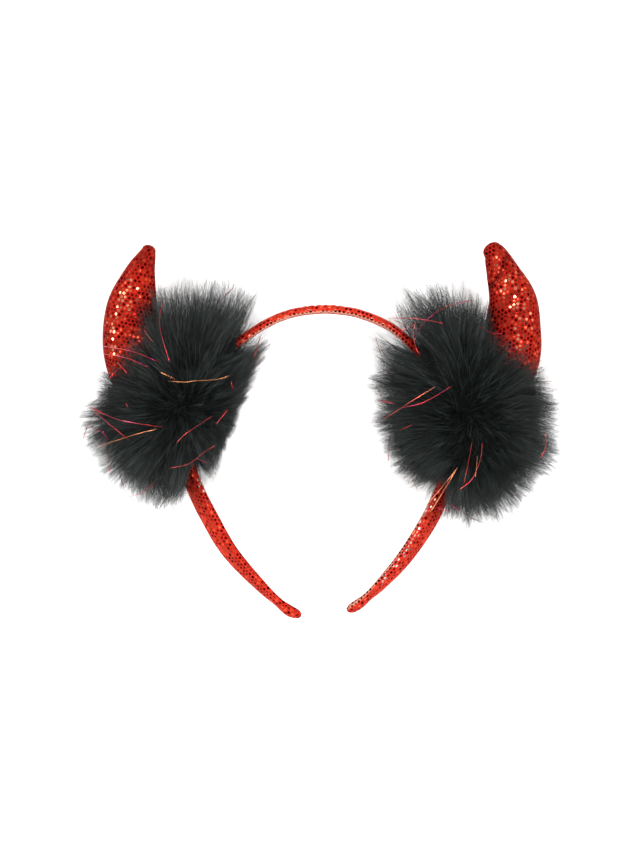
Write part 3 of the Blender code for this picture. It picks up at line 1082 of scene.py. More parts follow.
@dataclass(frozen=True)
class FurCoat:
    """Fine black fur with a green cast: darker at the root as painted shade deep in the coat, and paler and
    duller towards the tips.
    """

    root: tuple = (0.0010, 0.0016, 0.0015, 1)
    shaft: tuple = (0.0045, 0.0074, 0.0068, 1)
    tip: tuple = (0.0160, 0.0220, 0.0200, 1)
    # The pale strands' colour: painted highlight streaks
    pale_hair: tuple = (0.1150, 0.1400, 0.1300, 1)
    lock_scale: float = 120
    lock_range: tuple = (0.38, 0.62)
    shaft_range: tuple = (0.10, 0.55)
    tip_range: tuple = (0.50, 1.0)
    pale_range: tuple = (0.20, 0.75)
    tuft_scale: float = 420
    tuft_range: tuple = (0.40, 0.70)
    tuft_relief: float = 0.0006

    def hair(self, name: str, pale_from: float) -> bpy.types.Material:
        """The strands: U holds each one's own random number and V runs from its root to its tip.

        Args:
            name: The material's name.
            pale_from: The random number past which a strand is painted pale, as a highlight streak.

        Returns:
            The material.
        """
        finish = Finish(name)
        graph = finish.graph
        luck, along, _ = finish.uv().parts()
        lock = graph.noise(finish.position(), self.lock_scale, 2).ramp(*self.lock_range)
        # Painted shade: the strands are darkest at the root, deep in the fur
        shaft = graph.mix(along.ramp(*self.shaft_range), self.root, self.shaft, "RGBA")
        grown = graph.mix(along.ramp(*self.tip_range) * (lock * 0.6 + 0.4), shaft, self.tip, "RGBA")
        # Painted highlight streaks: a random share of the strands, paler towards their tips and where the
        # lock noise is high
        pale = luck.ramp(pale_from, 1.0) * along.ramp(*self.pale_range) * (lock * 0.7 + 0.3)
        return finish.surface(
            base_color=graph.mix(pale, grown, self.pale_hair, "RGBA"),
            roughness=luck * 0.15 + 0.42,
            specular_ior_level=0.40,
        )

    def underfur(self, name: str) -> bpy.types.Material:
        """The dense fur round the wound cord, too deep to show single strands.

        Args:
            name: The material's name.

        Returns:
            The material.
        """
        finish = Finish(name)
        graph = finish.graph
        tuft = graph.noise(finish.position(), self.tuft_scale, 4)
        return finish.surface(
            base_color=graph.mix(tuft.ramp(*self.tuft_range), self.root, self.shaft, "RGBA"),
            roughness=tuft * 0.2 + 0.75,
            specular_ior_level=0.15,
            normal=graph.bump(tuft, 0.8, self.tuft_relief),
        )


@dataclass(frozen=True)
class TinselFoil:
    """Slit metallic film in crimson and magenta, painted copper where it glints."""

    crimson: tuple = (0.80, 0.06, 0.07, 1)
    magenta: tuple = (0.62, 0.04, 0.22, 1)
    copper: tuple = (0.95, 0.38, 0.16, 1)
    hue_scale: float = 160
    magenta_range: tuple = (0.50, 0.66)
    copper_range: tuple = (0.0, 0.8)

    def material(self, name: str) -> bpy.types.Material:
        """The film: U holds how brightly the strand glints.

        Args:
            name: The material's name.

        Returns:
            The material.
        """
        finish = Finish(name)
        graph = finish.graph
        glint, _, _ = finish.uv().parts()
        hue = graph.noise(finish.position(), self.hue_scale, 2)
        film = graph.mix(hue.ramp(*self.magenta_range), self.crimson, self.magenta, "RGBA")
        # Painted glints: copper where the strand's glint value is high
        film = graph.mix((glint * 1.1 + hue - 0.85).ramp(*self.copper_range), film, self.copper, "RGBA")
        return finish.surface(base_color=film, roughness=hue * 0.12 + 0.16, metallic=1.0)


@dataclass
class Headband:
    """The U-shaped strip under one layer of cloth, with the cloth's ends flared at the tips."""

    cloth: FoilDotCloth
    steps: int = 9
    stretch_steps: int = 4
    unevenness: float = 0.00010
    crown_pucker: float = 0.00022
    pucker_pitch: float = 0.0031
    pucker_middle: float = -0.002
    pucker_reach: tuple = (0.020, 0.004)
    pucker_face: tuple = (-0.2, 0.8)
    pucker_drift: float = 2.0
    pucker_drift_scale: float = 300
    unevenness_scale: float = 260
    crown_gleam: float = 0.62
    ridge_width: float = 0.16
    # How strong the painted glare is along the inner edge: at the crown and on the right leg
    crown_paleness: float = 0.8
    leg_paleness: float = 0.7
    seam_rise: float = 0.00028
    seam_width: float = 0.0012

    def section(self) -> list[ShareRow]:
        """The whole section, round from the middle of the inner face and back to it.

        Returns:
            Its points, on a smooth closed curve.
        """
        mirrored = [ShareRow(-row.across, row.through) for row in reversed(BAND_SECTION[1:-1])]
        whole = [*BAND_SECTION, *mirrored]
        count = len(whole)
        fine = []
        for i in range(count):
            four = [whole[(i + k) % count] for k in (-1, 0, 1, 2)]
            for step in range(self.stretch_steps):
                share = step / self.stretch_steps
                fine.append(ShareRow(*(catmull_rom(*column, share) for column in zip(*four))))
        return fine

    def rings(self, grow: float = 0.0) -> list[list[Vector]]:
        """The band's sections, from the left tip to the right one.

        Args:
            grow: A gap that they are grown by all round, without the cloth's relief.

        Returns:
            The points of each section.
        """
        rows = smooth_rows(BAND_ROWS, self.steps)
        points = [Vector((row.x, row.y, BAND_LEVEL)) for row in rows]
        section = self.section()
        rings = []
        for row, point, along in zip(rows, points, headings(points)):
            outward = Vector((-along.y, along.x, 0))
            tilt = math.radians(row.tilt_deg)
            face = outward * math.cos(tilt) + UP * math.sin(tilt)
            edge = UP * math.cos(tilt) - outward * math.sin(tilt)
            half_width, half_thickness = row.width / 2 + grow, row.thickness / 2 + grow
            ring = []
            for share in section:
                spot = edge * share.across * half_width + face * share.through * half_thickness
                rise = 0.0 if grow else self.relief(point + spot, share, half_width)
                ring.append(point + spot + spot.normalized() * rise)
            rings.append(ring)
        return rings

    def relief(self, at: Vector, share: ShareRow, half_width: float) -> float:
        """How far the cloth stands off its plain section at one place: uneven all over, puckered round the
        crown, and raised where its edges lap on the inner face.

        Args:
            at: The place.
            share: Where it is in the section.
            half_width: Half the strip's width there.

        Returns:
            The height, which is negative in a dent.
        """
        uneven = noise.noise(at * self.unevenness_scale) * self.unevenness
        near_crown = smooth_step(*self.pucker_reach, abs(at.x - self.pucker_middle)) if at.y > 0 else 0.0
        drift = self.pucker_drift * noise.noise(at * self.pucker_drift_scale)
        pucker = math.sin(at.x * math.tau / self.pucker_pitch + drift) * self.crown_pucker
        outer = smooth_step(*self.pucker_face, share.through)
        across = share.across * half_width
        overlap = self.seam_rise * smooth_step(self.seam_width, 0.0, across)
        overlap *= smooth_step(0.0, -0.9, share.through)
        overlap *= smooth_step(-self.seam_width / 4, 0.0, across)
        return uneven + pucker * near_crown * outer + overlap

    def build(self) -> bpy.types.Object:
        """Make the band and dress it.

        Returns:
            The finished piece.
        """
        rings = self.rings()
        count = len(rings[0])
        middle = count // 2
        along = running_length([sum(ring, Vector()) / count for ring in rings])
        uvs = []
        for ring, u in zip(rings, along):
            around = running_length([*ring, ring[0]])
            corners = [(u, length - around[middle]) for length in around]
            uvs.append(list(zip(corners, corners[1:])))
        mesh = skin("headband_cloth", rings, uvs)
        store_shading(mesh, BAND_GLEAMS, BAND_DIMS)
        self.store_paleness(mesh)
        return place("headband_cloth", mesh, self.cloth.material("foil_dot_cloth_band", 0.0, pale_edge=True))

    def store_paleness(self, mesh: bpy.types.Mesh) -> None:
        """Store where a painted glare makes the cloth pale along the inner edge, and where the crown's ridge
        gleams.

        Args:
            mesh: The band's cloth, which stores its gleams already.
        """
        pale = mesh.attributes.new("pale", "FLOAT", "POINT").data
        gleam = mesh.attributes["gleam"].data
        section = self.section()
        for i, row in enumerate(smooth_rows(BAND_ROWS, self.steps)):
            crown = smooth_step(0.010, 0.030, row.y)
            # Where the painted glare lies: along the crown's inner edge, and along the right leg's inner edge
            brightened = smooth_step(0.036, 0.043, row.y)
            right_leg = smooth_step(0.0, 0.010, row.x) * smooth_step(-0.020, -0.040, row.y)
            for k, share in enumerate(section):
                on_top = smooth_step(0.40, 0.60, share.across)
                inner = smooth_step(-0.35, -0.60, share.through)
                edge = smooth_step(0.84, 0.96, share.across) * smooth_step(0.15, -0.20, share.through)
                on_crown = brightened * self.crown_paleness * on_top * inner
                pale[i * len(section) + k].value = on_crown + right_leg * self.leg_paleness * edge
                ridge = bell(share.through, self.ridge_width) * on_top
                spot = gleam[i * len(section) + k]
                spot.value = max(spot.value, crown * ridge * self.crown_gleam)


@dataclass
class Horn:
    """A stuffed horn of two panels, sewn edge to edge and turned out, whose foot saddles the band."""

    side: Side
    cloth: FoilDotCloth
    steps: int = 9
    sides: int = 76
    tip_steps: int = 7
    lens_power: float = 1.35
    tip_share: float = 0.72
    seam_depth: float = 0.00035
    seam_width: float = 0.00060
    seam_inset: float = 0.0019
    pucker_depth: float = 0.00016
    pucker_pitch: float = 0.0027
    pucker_drift: float = 2.5
    pucker_drift_scale: float = 220
    pucker_reach: tuple = (0.0060, 0.0008)
    unevenness: float = 0.00030
    coarse_scale: float = 110
    fine_scale: float = 260
    relief_fade: float = 2.5
    tip_turn_deg: float = 86
    rim_shade: float = 0.55

    @property
    def shape(self) -> HornShape:
        """What tells this horn from the other."""
        return HORN_SHAPES[self.side]

    def crease_depth(self, x: float, y: float) -> float:
        """How far the creases press the face in at one place."""
        return sum(crease.depth * fade_from(crease, x, y) for crease in self.shape.creases)

    def spine(self) -> list[tuple[Vector, Vector, float, float]]:
        """The sections in order, with a round tip.

        Returns:
            The place, heading, half width and half thickness of each.
        """
        smooth = smooth_rows(self.shape.rows, self.steps)
        points = [Vector((row.x, row.y, BAND_LEVEL)) for row in smooth]
        ways = headings(points)
        found = [(at, way, row.half_width, row.half_thickness) for at, way, row in zip(points, ways, smooth)]
        at, way, half_width, half_thickness = found[-1]
        for step in range(1, self.tip_steps + 1):
            angle = math.radians(self.tip_turn_deg * step / self.tip_steps)
            onward = at + way * self.tip_share * half_width * math.sin(angle)
            found.append((onward, way, half_width * math.cos(angle), half_thickness * math.cos(angle)))
        return found

    def height_at(self, x: float, y: float) -> float:
        """How high the horn's face stands over the band's level at one place in plan.

        Args:
            x: Across.
            y: Towards the crown.

        Returns:
            The height, or 0 beside the horn.
        """
        spot = Vector((x, y, BAND_LEVEL))
        at, _, half_width, half_thickness = min(self.spine(), key=lambda section: (section[0] - spot).length)
        share = min((at - spot).length / half_width, 1.0)
        return half_thickness * math.sqrt(1 - share * share) ** self.lens_power

    def relief(self, at: Vector, off_side: float, half_width: float, upper: bool) -> float:
        """How far the cloth stands off the plain form at one place, under the creases.

        Args:
            at: The place.
            off_side: How far it is from the spine, positive towards the horn's inner side.
            half_width: Half the horn's width there.
            upper: Whether it is on the upper panel.

        Returns:
            The height, which is negative in a dent.
        """
        outer = 1.0 if self.side is Side.LEFT else -1.0
        from_edge = half_width - abs(off_side)
        seam_at = (half_width - self.seam_inset) * outer
        groove = bell(off_side - seam_at, self.seam_width) if upper else 0.0
        drift = self.pucker_drift * noise.noise(at * self.pucker_drift_scale)
        ripple = math.sin(at.y * math.tau / self.pucker_pitch + drift)
        uneven = noise.noise(at * self.coarse_scale) + 0.5 * noise.noise(at * self.fine_scale)
        gathered = smooth_step(*self.pucker_reach, from_edge)
        return uneven * self.unevenness + ripple * gathered * self.pucker_depth - groove * self.seam_depth

    def rings(self) -> list[list[Vector]]:
        """Lens-shaped sections from the foot to the tip.

        Returns:
            The points of each section.
        """
        rings = []
        for point, along, half_width, half_thickness in self.spine():
            side = Vector((-along.y, along.x, 0))
            ring = []
            for k in range(self.sides):
                turn = math.tau * k / self.sides
                lens = math.copysign(abs(math.sin(turn)) ** self.lens_power, math.sin(turn))
                off_side = math.cos(turn) * half_width
                at = point + side * off_side
                plain = half_thickness * abs(lens)
                pressed = min(self.crease_depth(at.x, at.y) * abs(lens), plain / 2)
                relief = self.relief(at, off_side, half_width, lens > 0)
                relief *= min(abs(lens) * self.relief_fade, 1.0)
                at.z += math.copysign(max(plain - pressed + relief, 0.0), lens)
                ring.append(at)
            rings.append(ring)
        return rings

    def panel_uvs(self, rings: list[list[Vector]]) -> list[list[tuple]]:
        """The flat cut of each panel: every section laid out sideways from the middle of its panel.

        Args:
            rings: The horn's sections.

        Returns:
            For each section and each of its faces, its two corners on the panel.
        """
        half, quarter = self.sides // 2, self.sides // 4
        uvs = []
        for (point, along, _, _), ring in zip(self.spine(), rings):
            side = Vector((-along.y, along.x))
            around = running_length([*ring, ring[0]])
            corners = []
            for k in range(self.sides):
                middle = quarter if k < half else half + quarter
                sign = 1.0 if k < half else -1.0
                pair = []
                for j in (k, k + 1):
                    out = (around[middle] - around[j]) * sign
                    pair.append((point.x + side.x * out, point.y + side.y * out))
                corners.append(tuple(pair))
            uvs.append(corners)
        return uvs

    def build(self, band: Headband) -> bpy.types.Object:
        """Make the horn, open its foot over the band and dress it.

        Args:
            band: The band that the foot saddles.

        Returns:
            The finished piece.
        """
        name = f"horn_{self.side.value}_cloth"
        rings = self.rings()
        whole = place(name + "_whole", skin(name, rings, self.panel_uvs(rings)))
        grown = band.rings(PIECE_GAP)
        blank = [[((0, 0), (0, 0))] * len(grown[0])] * len(grown)
        room = place("band_room", skin("band_room", grown, blank))
        saddle = whole.modifiers.new("saddle", "BOOLEAN")
        saddle.operation = "DIFFERENCE"
        saddle.object = room
        saddle.solver = "EXACT"
        horn = settle(name, whole, room)
        horn.data.materials.clear()
        material = self.cloth.material(f"foil_dot_cloth_{self.side.value}", self.shape.dots_turn_deg)
        horn.data.materials.append(material)
        horn.data.shade_smooth()
        store_shading(horn.data, self.shape.gleams, self.shape.dims, self.rim_shade)
        return horn


@dataclass
class FurPuff:
    """A deep fur puff wound round the band and the horn's foot, in three coats over its dense underfur."""

    side: Side
    coat: FurCoat
    rise: float = 0.034
    roundness: float = 2.4
    underfur_share: float = 0.60
    underfur_sides: int = 64
    underfur_lumps: float = 0.16
    lump_scale: float = 4.2
    scalp_radius: float = 0.004
    envelope_sides: int = 96
    points: int = 5

    @property
    def shape(self) -> PuffShape:
        """What tells this puff from the other."""
        return PUFF_SHAPES[self.side]

    @property
    def middle(self) -> Vector:
        """The puff's middle, at the band's level."""
        return Vector((*self.shape.middle, BAND_LEVEL))

    def reach_at(self, angle_deg: float) -> float:
        """The reach in one direction, on a smooth closed curve through the table.

        Args:
            angle_deg: The direction in plan.

        Returns:
            The reach.
        """
        rows, angle = self.shape.reach, angle_deg % 360
        count = len(rows)
        for i in range(count):
            start = rows[i].angle_deg
            end = rows[(i + 1) % count].angle_deg + (360 if i == count - 1 else 0)
            if start <= angle < end:
                four = [rows[(i + k) % count].reach for k in (-1, 0, 1, 2)]
                return catmull_rom(*four, (angle - start) / (end - start))
        return rows[0].reach

    def radius(self, way: Vector) -> float:
        """From the puff's middle to the fur's surface, which is flat where it rests.

        Args:
            way: The direction, of length 1.

        Returns:
            The distance.
        """
        flat = math.hypot(way.x, way.y)
        wide = self.reach_at(math.degrees(math.atan2(way.y, way.x)))
        total = (flat / wide) ** self.roundness + (abs(way.z) / self.rise) ** self.roundness
        radius = total ** (-1 / self.roundness)
        if way.z < 0:
            radius = min(radius, BAND_LEVEL / -way.z)
        return radius

    def height_at(self, x: float, y: float, fluff: float) -> float:
        """The height of the fur's top over one place in plan, or the band's level beyond the fur.

        Args:
            x: Across.
            y: Towards the crown.
            fluff: How much larger than its reach the fur is taken to be.

        Returns:
            The height over the floor.
        """
        flat = math.hypot(x - self.middle.x, y - self.middle.y)
        wide = self.reach_at(math.degrees(math.atan2(y - self.middle.y, x - self.middle.x))) * fluff
        left = max(1 - (flat / wide) ** self.roundness, 0.0)
        return BAND_LEVEL + self.rise * fluff * left ** (1 / self.roundness)

    def drawn_sphere(self, name: str, sides: int, share: float, lumps: float) -> bpy.types.Mesh:
        """A sphere drawn out to a share of the fur's reach.

        Args:
            name: The mesh's name.
            sides: How many faces it has round it.
            share: The share of the reach.
            lumps: How much the reach varies from tuft to tuft.

        Returns:
            The mesh.
        """
        shape = bmesh.new()
        bmesh.ops.create_uvsphere(shape, u_segments=sides, v_segments=sides // 2, radius=1.0)
        for vert in shape.verts:
            way = vert.co.normalized()
            uneven = 1 + lumps * noise.noise(way * self.lump_scale)
            vert.co = self.middle + way * self.radius(way) * share * uneven
        return finished_mesh(name, shape)

    def scalp(self, name: str, layer: Coat) -> bpy.types.Mesh:
        """The part of a small sphere on which one coat's strands are sown.

        Args:
            name: The mesh's name.
            layer: Which coat.

        Returns:
            The mesh.
        """
        shape = bmesh.new()
        bmesh.ops.create_icosphere(shape, subdivisions=5, radius=self.scalp_radius)
        gone = [face for face in shape.faces if face.calc_center_median().z * layer.value < 0]
        bmesh.ops.delete(shape, geom=gone, context="FACES")
        bmesh.ops.translate(shape, verts=shape.verts, vec=self.middle)
        return finished_mesh(name, shape)

    def build_underfur(self) -> bpy.types.Object:
        """Make the dense fur round the wound cord.

        Returns:
            The finished piece.
        """
        name = f"fur_{self.side.value}_underfur"
        mesh = self.drawn_sphere(name, self.underfur_sides, self.underfur_share, self.underfur_lumps)
        return place(name, mesh, self.coat.underfur(name))

    def build_coat(self, layer: Coat) -> bpy.types.Object:
        """Grow one coat of strands.

        Args:
            layer: Which coat.

        Returns:
            The finished piece.
        """
        name = f"fur_{self.side.value}_{layer.name.lower()}"
        sphere = self.drawn_sphere(name + "_envelope", self.envelope_sides, share=1.0, lumps=0.0)
        envelope = place(name + "_envelope", sphere)
        guide = place(name + "_scalp", self.scalp(name + "_scalp", layer))
        row = COATS[layer]
        halves = 2 if layer is Coat.GUARD else 1
        values = {
            "Envelope": envelope,
            "Middle": self.middle,
            "Core": Vector(self.shape.core),
            "Density": row.strands / (math.tau * self.scalp_radius**2 * halves),
            "Seed": self.shape.fur_seed + layer.value,
            "Points": self.points,
            "Width": row.width,
            "Overgrow": row.overgrow,
            "Gather": row.gather,
            "Coat": self.coat.hair(name, row.pale_from),
        }
        for which, parting in zip(("First", "Second"), self.shape.partings):
            values[f"{which} Parting"] = heading_at(parting.angle_deg)
            values[f"{which} Cover"] = parting.cover
            values[f"{which} Half"] = math.cos(math.radians(parting.half_deg))
        FurTree.shared().attach(guide, values)
        return settle(name, guide, envelope)


def heading_at(angle_deg: float) -> Vector:
    """The level direction with one bearing."""
    angle = math.radians(angle_deg)
    return Vector((math.cos(angle), math.sin(angle), 0))


class NodeGroup:
    """A Geometry Nodes tree with named inputs."""

    kinds = {
        "Geometry": "NodeSocketGeometry",
        "Object": "NodeSocketObject",
        "Vector": "NodeSocketVector",
        "Float": "NodeSocketFloat",
        "Int": "NodeSocketInt",
        "Material": "NodeSocketMaterial",
    }

    def __init__(self, name: str, inputs: dict[str, str]) -> None:
        """Start the tree.

        Args:
            name: The tree's name.
            inputs: The kind of each input, by its name. The geometry is always the first.
        """
        self.tree = bpy.data.node_groups.new(name, "GeometryNodeTree")
        self.graph = Graph(self.tree)
        self.tree.interface.new_socket("Geometry", in_out="OUTPUT", socket_type=self.kinds["Geometry"])
        for label, kind in {"Geometry": "Geometry", **inputs}.items():
            self.tree.interface.new_socket(label, in_out="INPUT", socket_type=self.kinds[kind])
        self.source = self.tree.nodes.new("NodeGroupInput")
        self.target = self.tree.nodes.new("NodeGroupOutput")

    @classmethod
    @cache
    def shared(cls) -> "NodeGroup":
        """The one tree of its kind, which all the pieces that need it share."""
        return cls()

    def given(self, name: str) -> Wire:
        """One of the tree's inputs."""
        return Wire(self.graph, self.source.outputs[name])

    def hand_over(self, geometry: Wire) -> None:
        """Send the finished geometry out of the tree."""
        self.tree.links.new(geometry.socket, self.target.inputs["Geometry"])

    def attach(self, thing: bpy.types.Object, values: dict[str, Any]) -> None:
        """Give an object the tree as its modifier, with its inputs set by their identifiers.

        Args:
            thing: The object.
            values: What each named input takes.
        """
        modifier = thing.modifiers.new(self.tree.name, "NODES")
        modifier.node_group = self.tree
        for item in self.tree.interface.items_tree:
            if item.item_type == "SOCKET" and item.in_out == "INPUT" and item.name in values:
                modifier[item.identifier] = values[item.name]

    def clothe(self, strips: Wire, across: Wire, along: Wire, material: Wire) -> Wire:
        """Strips with their UV map and material, as real geometry.

        Args:
            strips: The strips.
            across: What U holds.
            along: What V holds.
            material: The material.

        Returns:
            The finished geometry.
        """
        uv = self.graph.vector(across, along, 0.0)
        strips = self.store(strips, UV_NAME, uv, "FLOAT2", "CORNER")
        strips = self.graph.node("GeometryNodeRealizeInstances", {}, {"Geometry": strips})
        return self.graph.node("GeometryNodeSetMaterial", {}, {"Geometry": strips, "Material": material})

    def store(self, geometry: Wire, name: str, value: Wire, kind: str, domain: str = "POINT") -> Wire:
        """The geometry with a named attribute stored on it.

        Args:
            geometry: The geometry.
            name: The attribute's name.
            value: Its value at each point or corner.
            kind: The attribute's data type.
            domain: Where it is stored.

        Returns:
            The geometry.
        """
        settings = {"data_type": kind, "domain": domain}
        values = {"Geometry": geometry, "Name": name, "Value": value}
        return self.graph.node("GeometryNodeStoreNamedAttribute", settings, values)

    def stored(self, name: str, kind: str) -> Wire:
        """A named attribute of the geometry."""
        settings, values = {"data_type": kind}, {"Name": name}
        return self.graph.node("GeometryNodeInputNamedAttribute", settings, values, "Attribute")

    def random(self, low: float, high: float, seed: int) -> Wire:
        """A random number for each point."""
        values = {"Min": low, "Max": high, "Seed": seed}
        return self.graph.node("FunctionNodeRandomValue", {"data_type": "FLOAT"}, values, "Value")

    def ribbon(self, curves: Wire, half_width: Wire, turn: Wire, thick: float = 0.0) -> Wire:
        """Strips along curves.

        Args:
            curves: The curves.
            half_width: Half the strip's width at each point.
            turn: How far the strip is turned about its curve at each point.
            thick: Its thickness as a share of its width, or 0 for a flat strip.

        Returns:
            The strips, with no material yet.
        """
        graph = self.graph
        curves = graph.node("GeometryNodeSetCurveTilt", {}, {"Curve": curves, "Tilt": turn})
        if thick:
            corners = {"Resolution": 4, "Radius": 1.0}
            square = graph.node("GeometryNodeCurvePrimitiveCircle", {"mode": "RADIUS"}, corners)
            flattened = {"Geometry": square, "Scale": (1.0, thick, 1.0)}
            profile = graph.node("GeometryNodeTransform", {}, flattened)
        else:
            across = {"Start": (-1.0, 0.0, 0.0), "End": (1.0, 0.0, 0.0)}
            profile = graph.node("GeometryNodeCurvePrimitiveLine", {"mode": "POINTS"}, across)
        values = {"Curve": curves, "Profile Curve": profile, "Scale": half_width}
        return graph.node("GeometryNodeCurveToMesh", {}, values)


class FurTree(NodeGroup):
    """Strands that leave the wound cord in every direction, bow over and gather in tufts at their tips."""

    inputs = {
        "Envelope": "Object",
        "Middle": "Vector",
        "Core": "Vector",
        "Density": "Float",
        "Seed": "Int",
        "Points": "Int",
        "Width": "Float",
        "Overgrow": "Float",
        "Gather": "Float",
        "First Parting": "Vector",
        "First Cover": "Float",
        "First Half": "Float",
        "Second Parting": "Vector",
        "Second Cover": "Float",
        "Second Half": "Float",
        "Coat": "Material",
    }
    flop = 0.42
    bow_share = 0.62
    wave_scale = 5.0
    tuft_scale = 4.2
    tuft_pull = 0.26
    wisp_scale = 13.0
    wisp_pull = 0.42
    sway = 0.27
    scatter = 0.14
    curl = 0.026
    curl_scale = 70.0
    cell_spread = 50.0
    strand_luck = 0.22
    tuft_luck = 0.13
    wisp_luck = 0.11
    start = 0.10
    lowest = 0.0004
    turns = 40.0
    twist = 1.2
    narrowing = 0.90
    taper_power = 0.7
    ray_length = 0.2
    parting_fade = 0.008
    parting_heights = (-0.16, -0.06, 0.80, 0.92)

    def __init__(self) -> None:
        """Write the tree."""
        super().__init__("fur_coat", self.inputs)
        sown = {"Mesh": self.given("Geometry"), "Density": self.given("Density"), "Seed": self.given("Seed")}
        method = {"distribute_method": "RANDOM"}
        points = self.graph.node("GeometryNodeDistributePointsOnFaces", method, sown)
        self.hand_over(self.finish(self.grow(self.sow(points))))

    def reach(self, way: Wire) -> Wire:
        """From the puff's middle to its envelope.

        Args:
            way: The direction.

        Returns:
            The distance.
        """
        settings, source = {"transform_space": "ORIGINAL"}, {"Object": self.given("Envelope")}
        values = {
            "Target Geometry": self.graph.node("GeometryNodeObjectInfo", settings, source, "Geometry"),
            "Source Position": self.given("Middle"),
            "Ray Direction": way,
            "Ray Length": self.ray_length,
        }
        return self.graph.node("GeometryNodeRaycast", {}, values, "Hit Distance")

    def tuft(self, way: Wire, scale: float) -> Wire:
        """The direction of the tuft that a strand belongs to."""
        values = {"Vector": way, "Scale": scale, "Randomness": 0.9}
        return self.graph.node("ShaderNodeTexVoronoi", {}, values, "Position").unit()

    def parted(self, way: Wire, which: str, reach: Wire) -> Wire:
        """The share of its length that a strand keeps where the band parts the fur.

        Args:
            way: The direction of its tip.
            which: First or Second, the parting.
            reach: The fur's reach in that direction.

        Returns:
            The share.
        """
        flat = (way * (1.0, 1.0, 0.0)).unit()
        height = way.parts()[2]
        low, low_full, high_full, high = self.parting_heights
        half = self.given(which + " Half")
        over_band = ((flat.dot(self.given(which + " Parting")) - half) / self.parting_fade + 1).ramp(0.0, 1.0)
        over_band = over_band * height.ramp(low, low_full) * height.ramp(high, high_full)
        return 1 - over_band * (1 - (self.given(which + " Cover") / reach).at_most(1.0))

    def sow(self, points: Wire) -> Wire:
        """Store on each point what its strand needs: its root, bow, tip and luck.

        Args:
            points: The points.

        Returns:
            The same points.
        """
        graph = self.graph
        position = graph.node("GeometryNodeInputPosition", {}, {})
        way = (position - self.given("Middle")).unit()
        wave = graph.noise(way, self.wave_scale, 2, "Color") - (0.5, 0.5, 0.5)
        scatter = graph.vector(self.random(-1, 1, 1), self.random(-1, 1, 2), self.random(-1, 1, 3))
        leaning = (way * (1.0, 1.0, 1 - self.flop) + wave * self.sway * 2 + scatter * self.scatter).unit()
        big, small = self.tuft(leaning, self.tuft_scale), self.tuft(leaning, self.wisp_scale)
        gather = self.random(0.5, 1.0, 4) * self.given("Gather")
        tip_way = leaning + (big - leaning) * gather * self.tuft_pull
        tip_way = (tip_way + (small - leaning) * gather * self.wisp_pull).unit()
        luck = self.random(0, 1, 5)
        shared_luck = graph.chance(big * self.cell_spread) * self.tuft_luck
        shared_luck = shared_luck + graph.chance(small * self.cell_spread) * self.wisp_luck
        full = self.reach(tip_way)
        length = full * (self.given("Overgrow") - luck * luck * self.strand_luck - shared_luck)
        length = length * self.parted(tip_way, "First", full) * self.parted(tip_way, "Second", full)
        root = self.given("Middle") + way.math("MULTIPLY", self.given("Core"))
        outer = self.given("Middle") + way * self.reach(way)
        bow = graph.mix(self.bow_share, root, outer, "VECTOR")
        bow = bow + (graph.noise(bow, self.curl_scale, 2, "Color") - (0.5, 0.5, 0.5)) * self.curl
        tip = self.given("Middle") + tip_way * length
        for name, value in (("root", root), ("bow", bow), ("tip", tip)):
            points = self.store(points, name, value, "FLOAT_VECTOR")
        return self.store(points, "luck", self.random(0, 1, 6), "FLOAT")

    def grow(self, points: Wire) -> Wire:
        """Grow a curve on each point, bent from its root over its bow to its tip.

        Args:
            points: The points, with what each strand needs.

        Returns:
            The curves.
        """
        graph = self.graph
        blade = graph.node("GeometryNodeCurvePrimitiveLine", {"mode": "POINTS"}, {"End": (0.0, 0.0, 0.001)})
        blade = graph.node("GeometryNodeResampleCurve", {}, {"Curve": blade, "Count": self.given("Points")})
        placed = graph.node("GeometryNodeInstanceOnPoints", {}, {"Points": points, "Instance": blade})
        curves = graph.node("GeometryNodeRealizeInstances", {}, {"Geometry": placed})
        share = graph.node("GeometryNodeSplineParameter", {}, {}, "Factor")
        curves = self.store(curves, "along", share, "FLOAT")
        t = self.stored("along", "FLOAT") * (1 - self.start) + self.start
        root, bow, tip = (self.stored(name, "FLOAT_VECTOR") for name in ("root", "bow", "tip"))
        bent = root * ((1 - t) ** 2.0) + bow * (t * (1 - t) * 2.0) + tip * (t ** 2.0)
        x, y, z = bent.parts()
        resting = graph.vector(x, y, z.at_least(self.lowest))
        return graph.node("GeometryNodeSetPosition", {}, {"Geometry": curves, "Position": resting})

    def finish(self, curves: Wire) -> Wire:
        """Lay flat tapered strips along the curves.

        Args:
            curves: The curves.

        Returns:
            The strands.
        """
        along, luck = self.stored("along", "FLOAT"), self.stored("luck", "FLOAT")
        taper = (1 - along * self.narrowing) ** self.taper_power
        half_width = self.given("Width") * taper * (luck * 0.5 + 0.75)
        strips = self.ribbon(curves, half_width, luck * self.turns + along * self.twist)
        return self.clothe(strips, luck, along, self.given("Coat"))


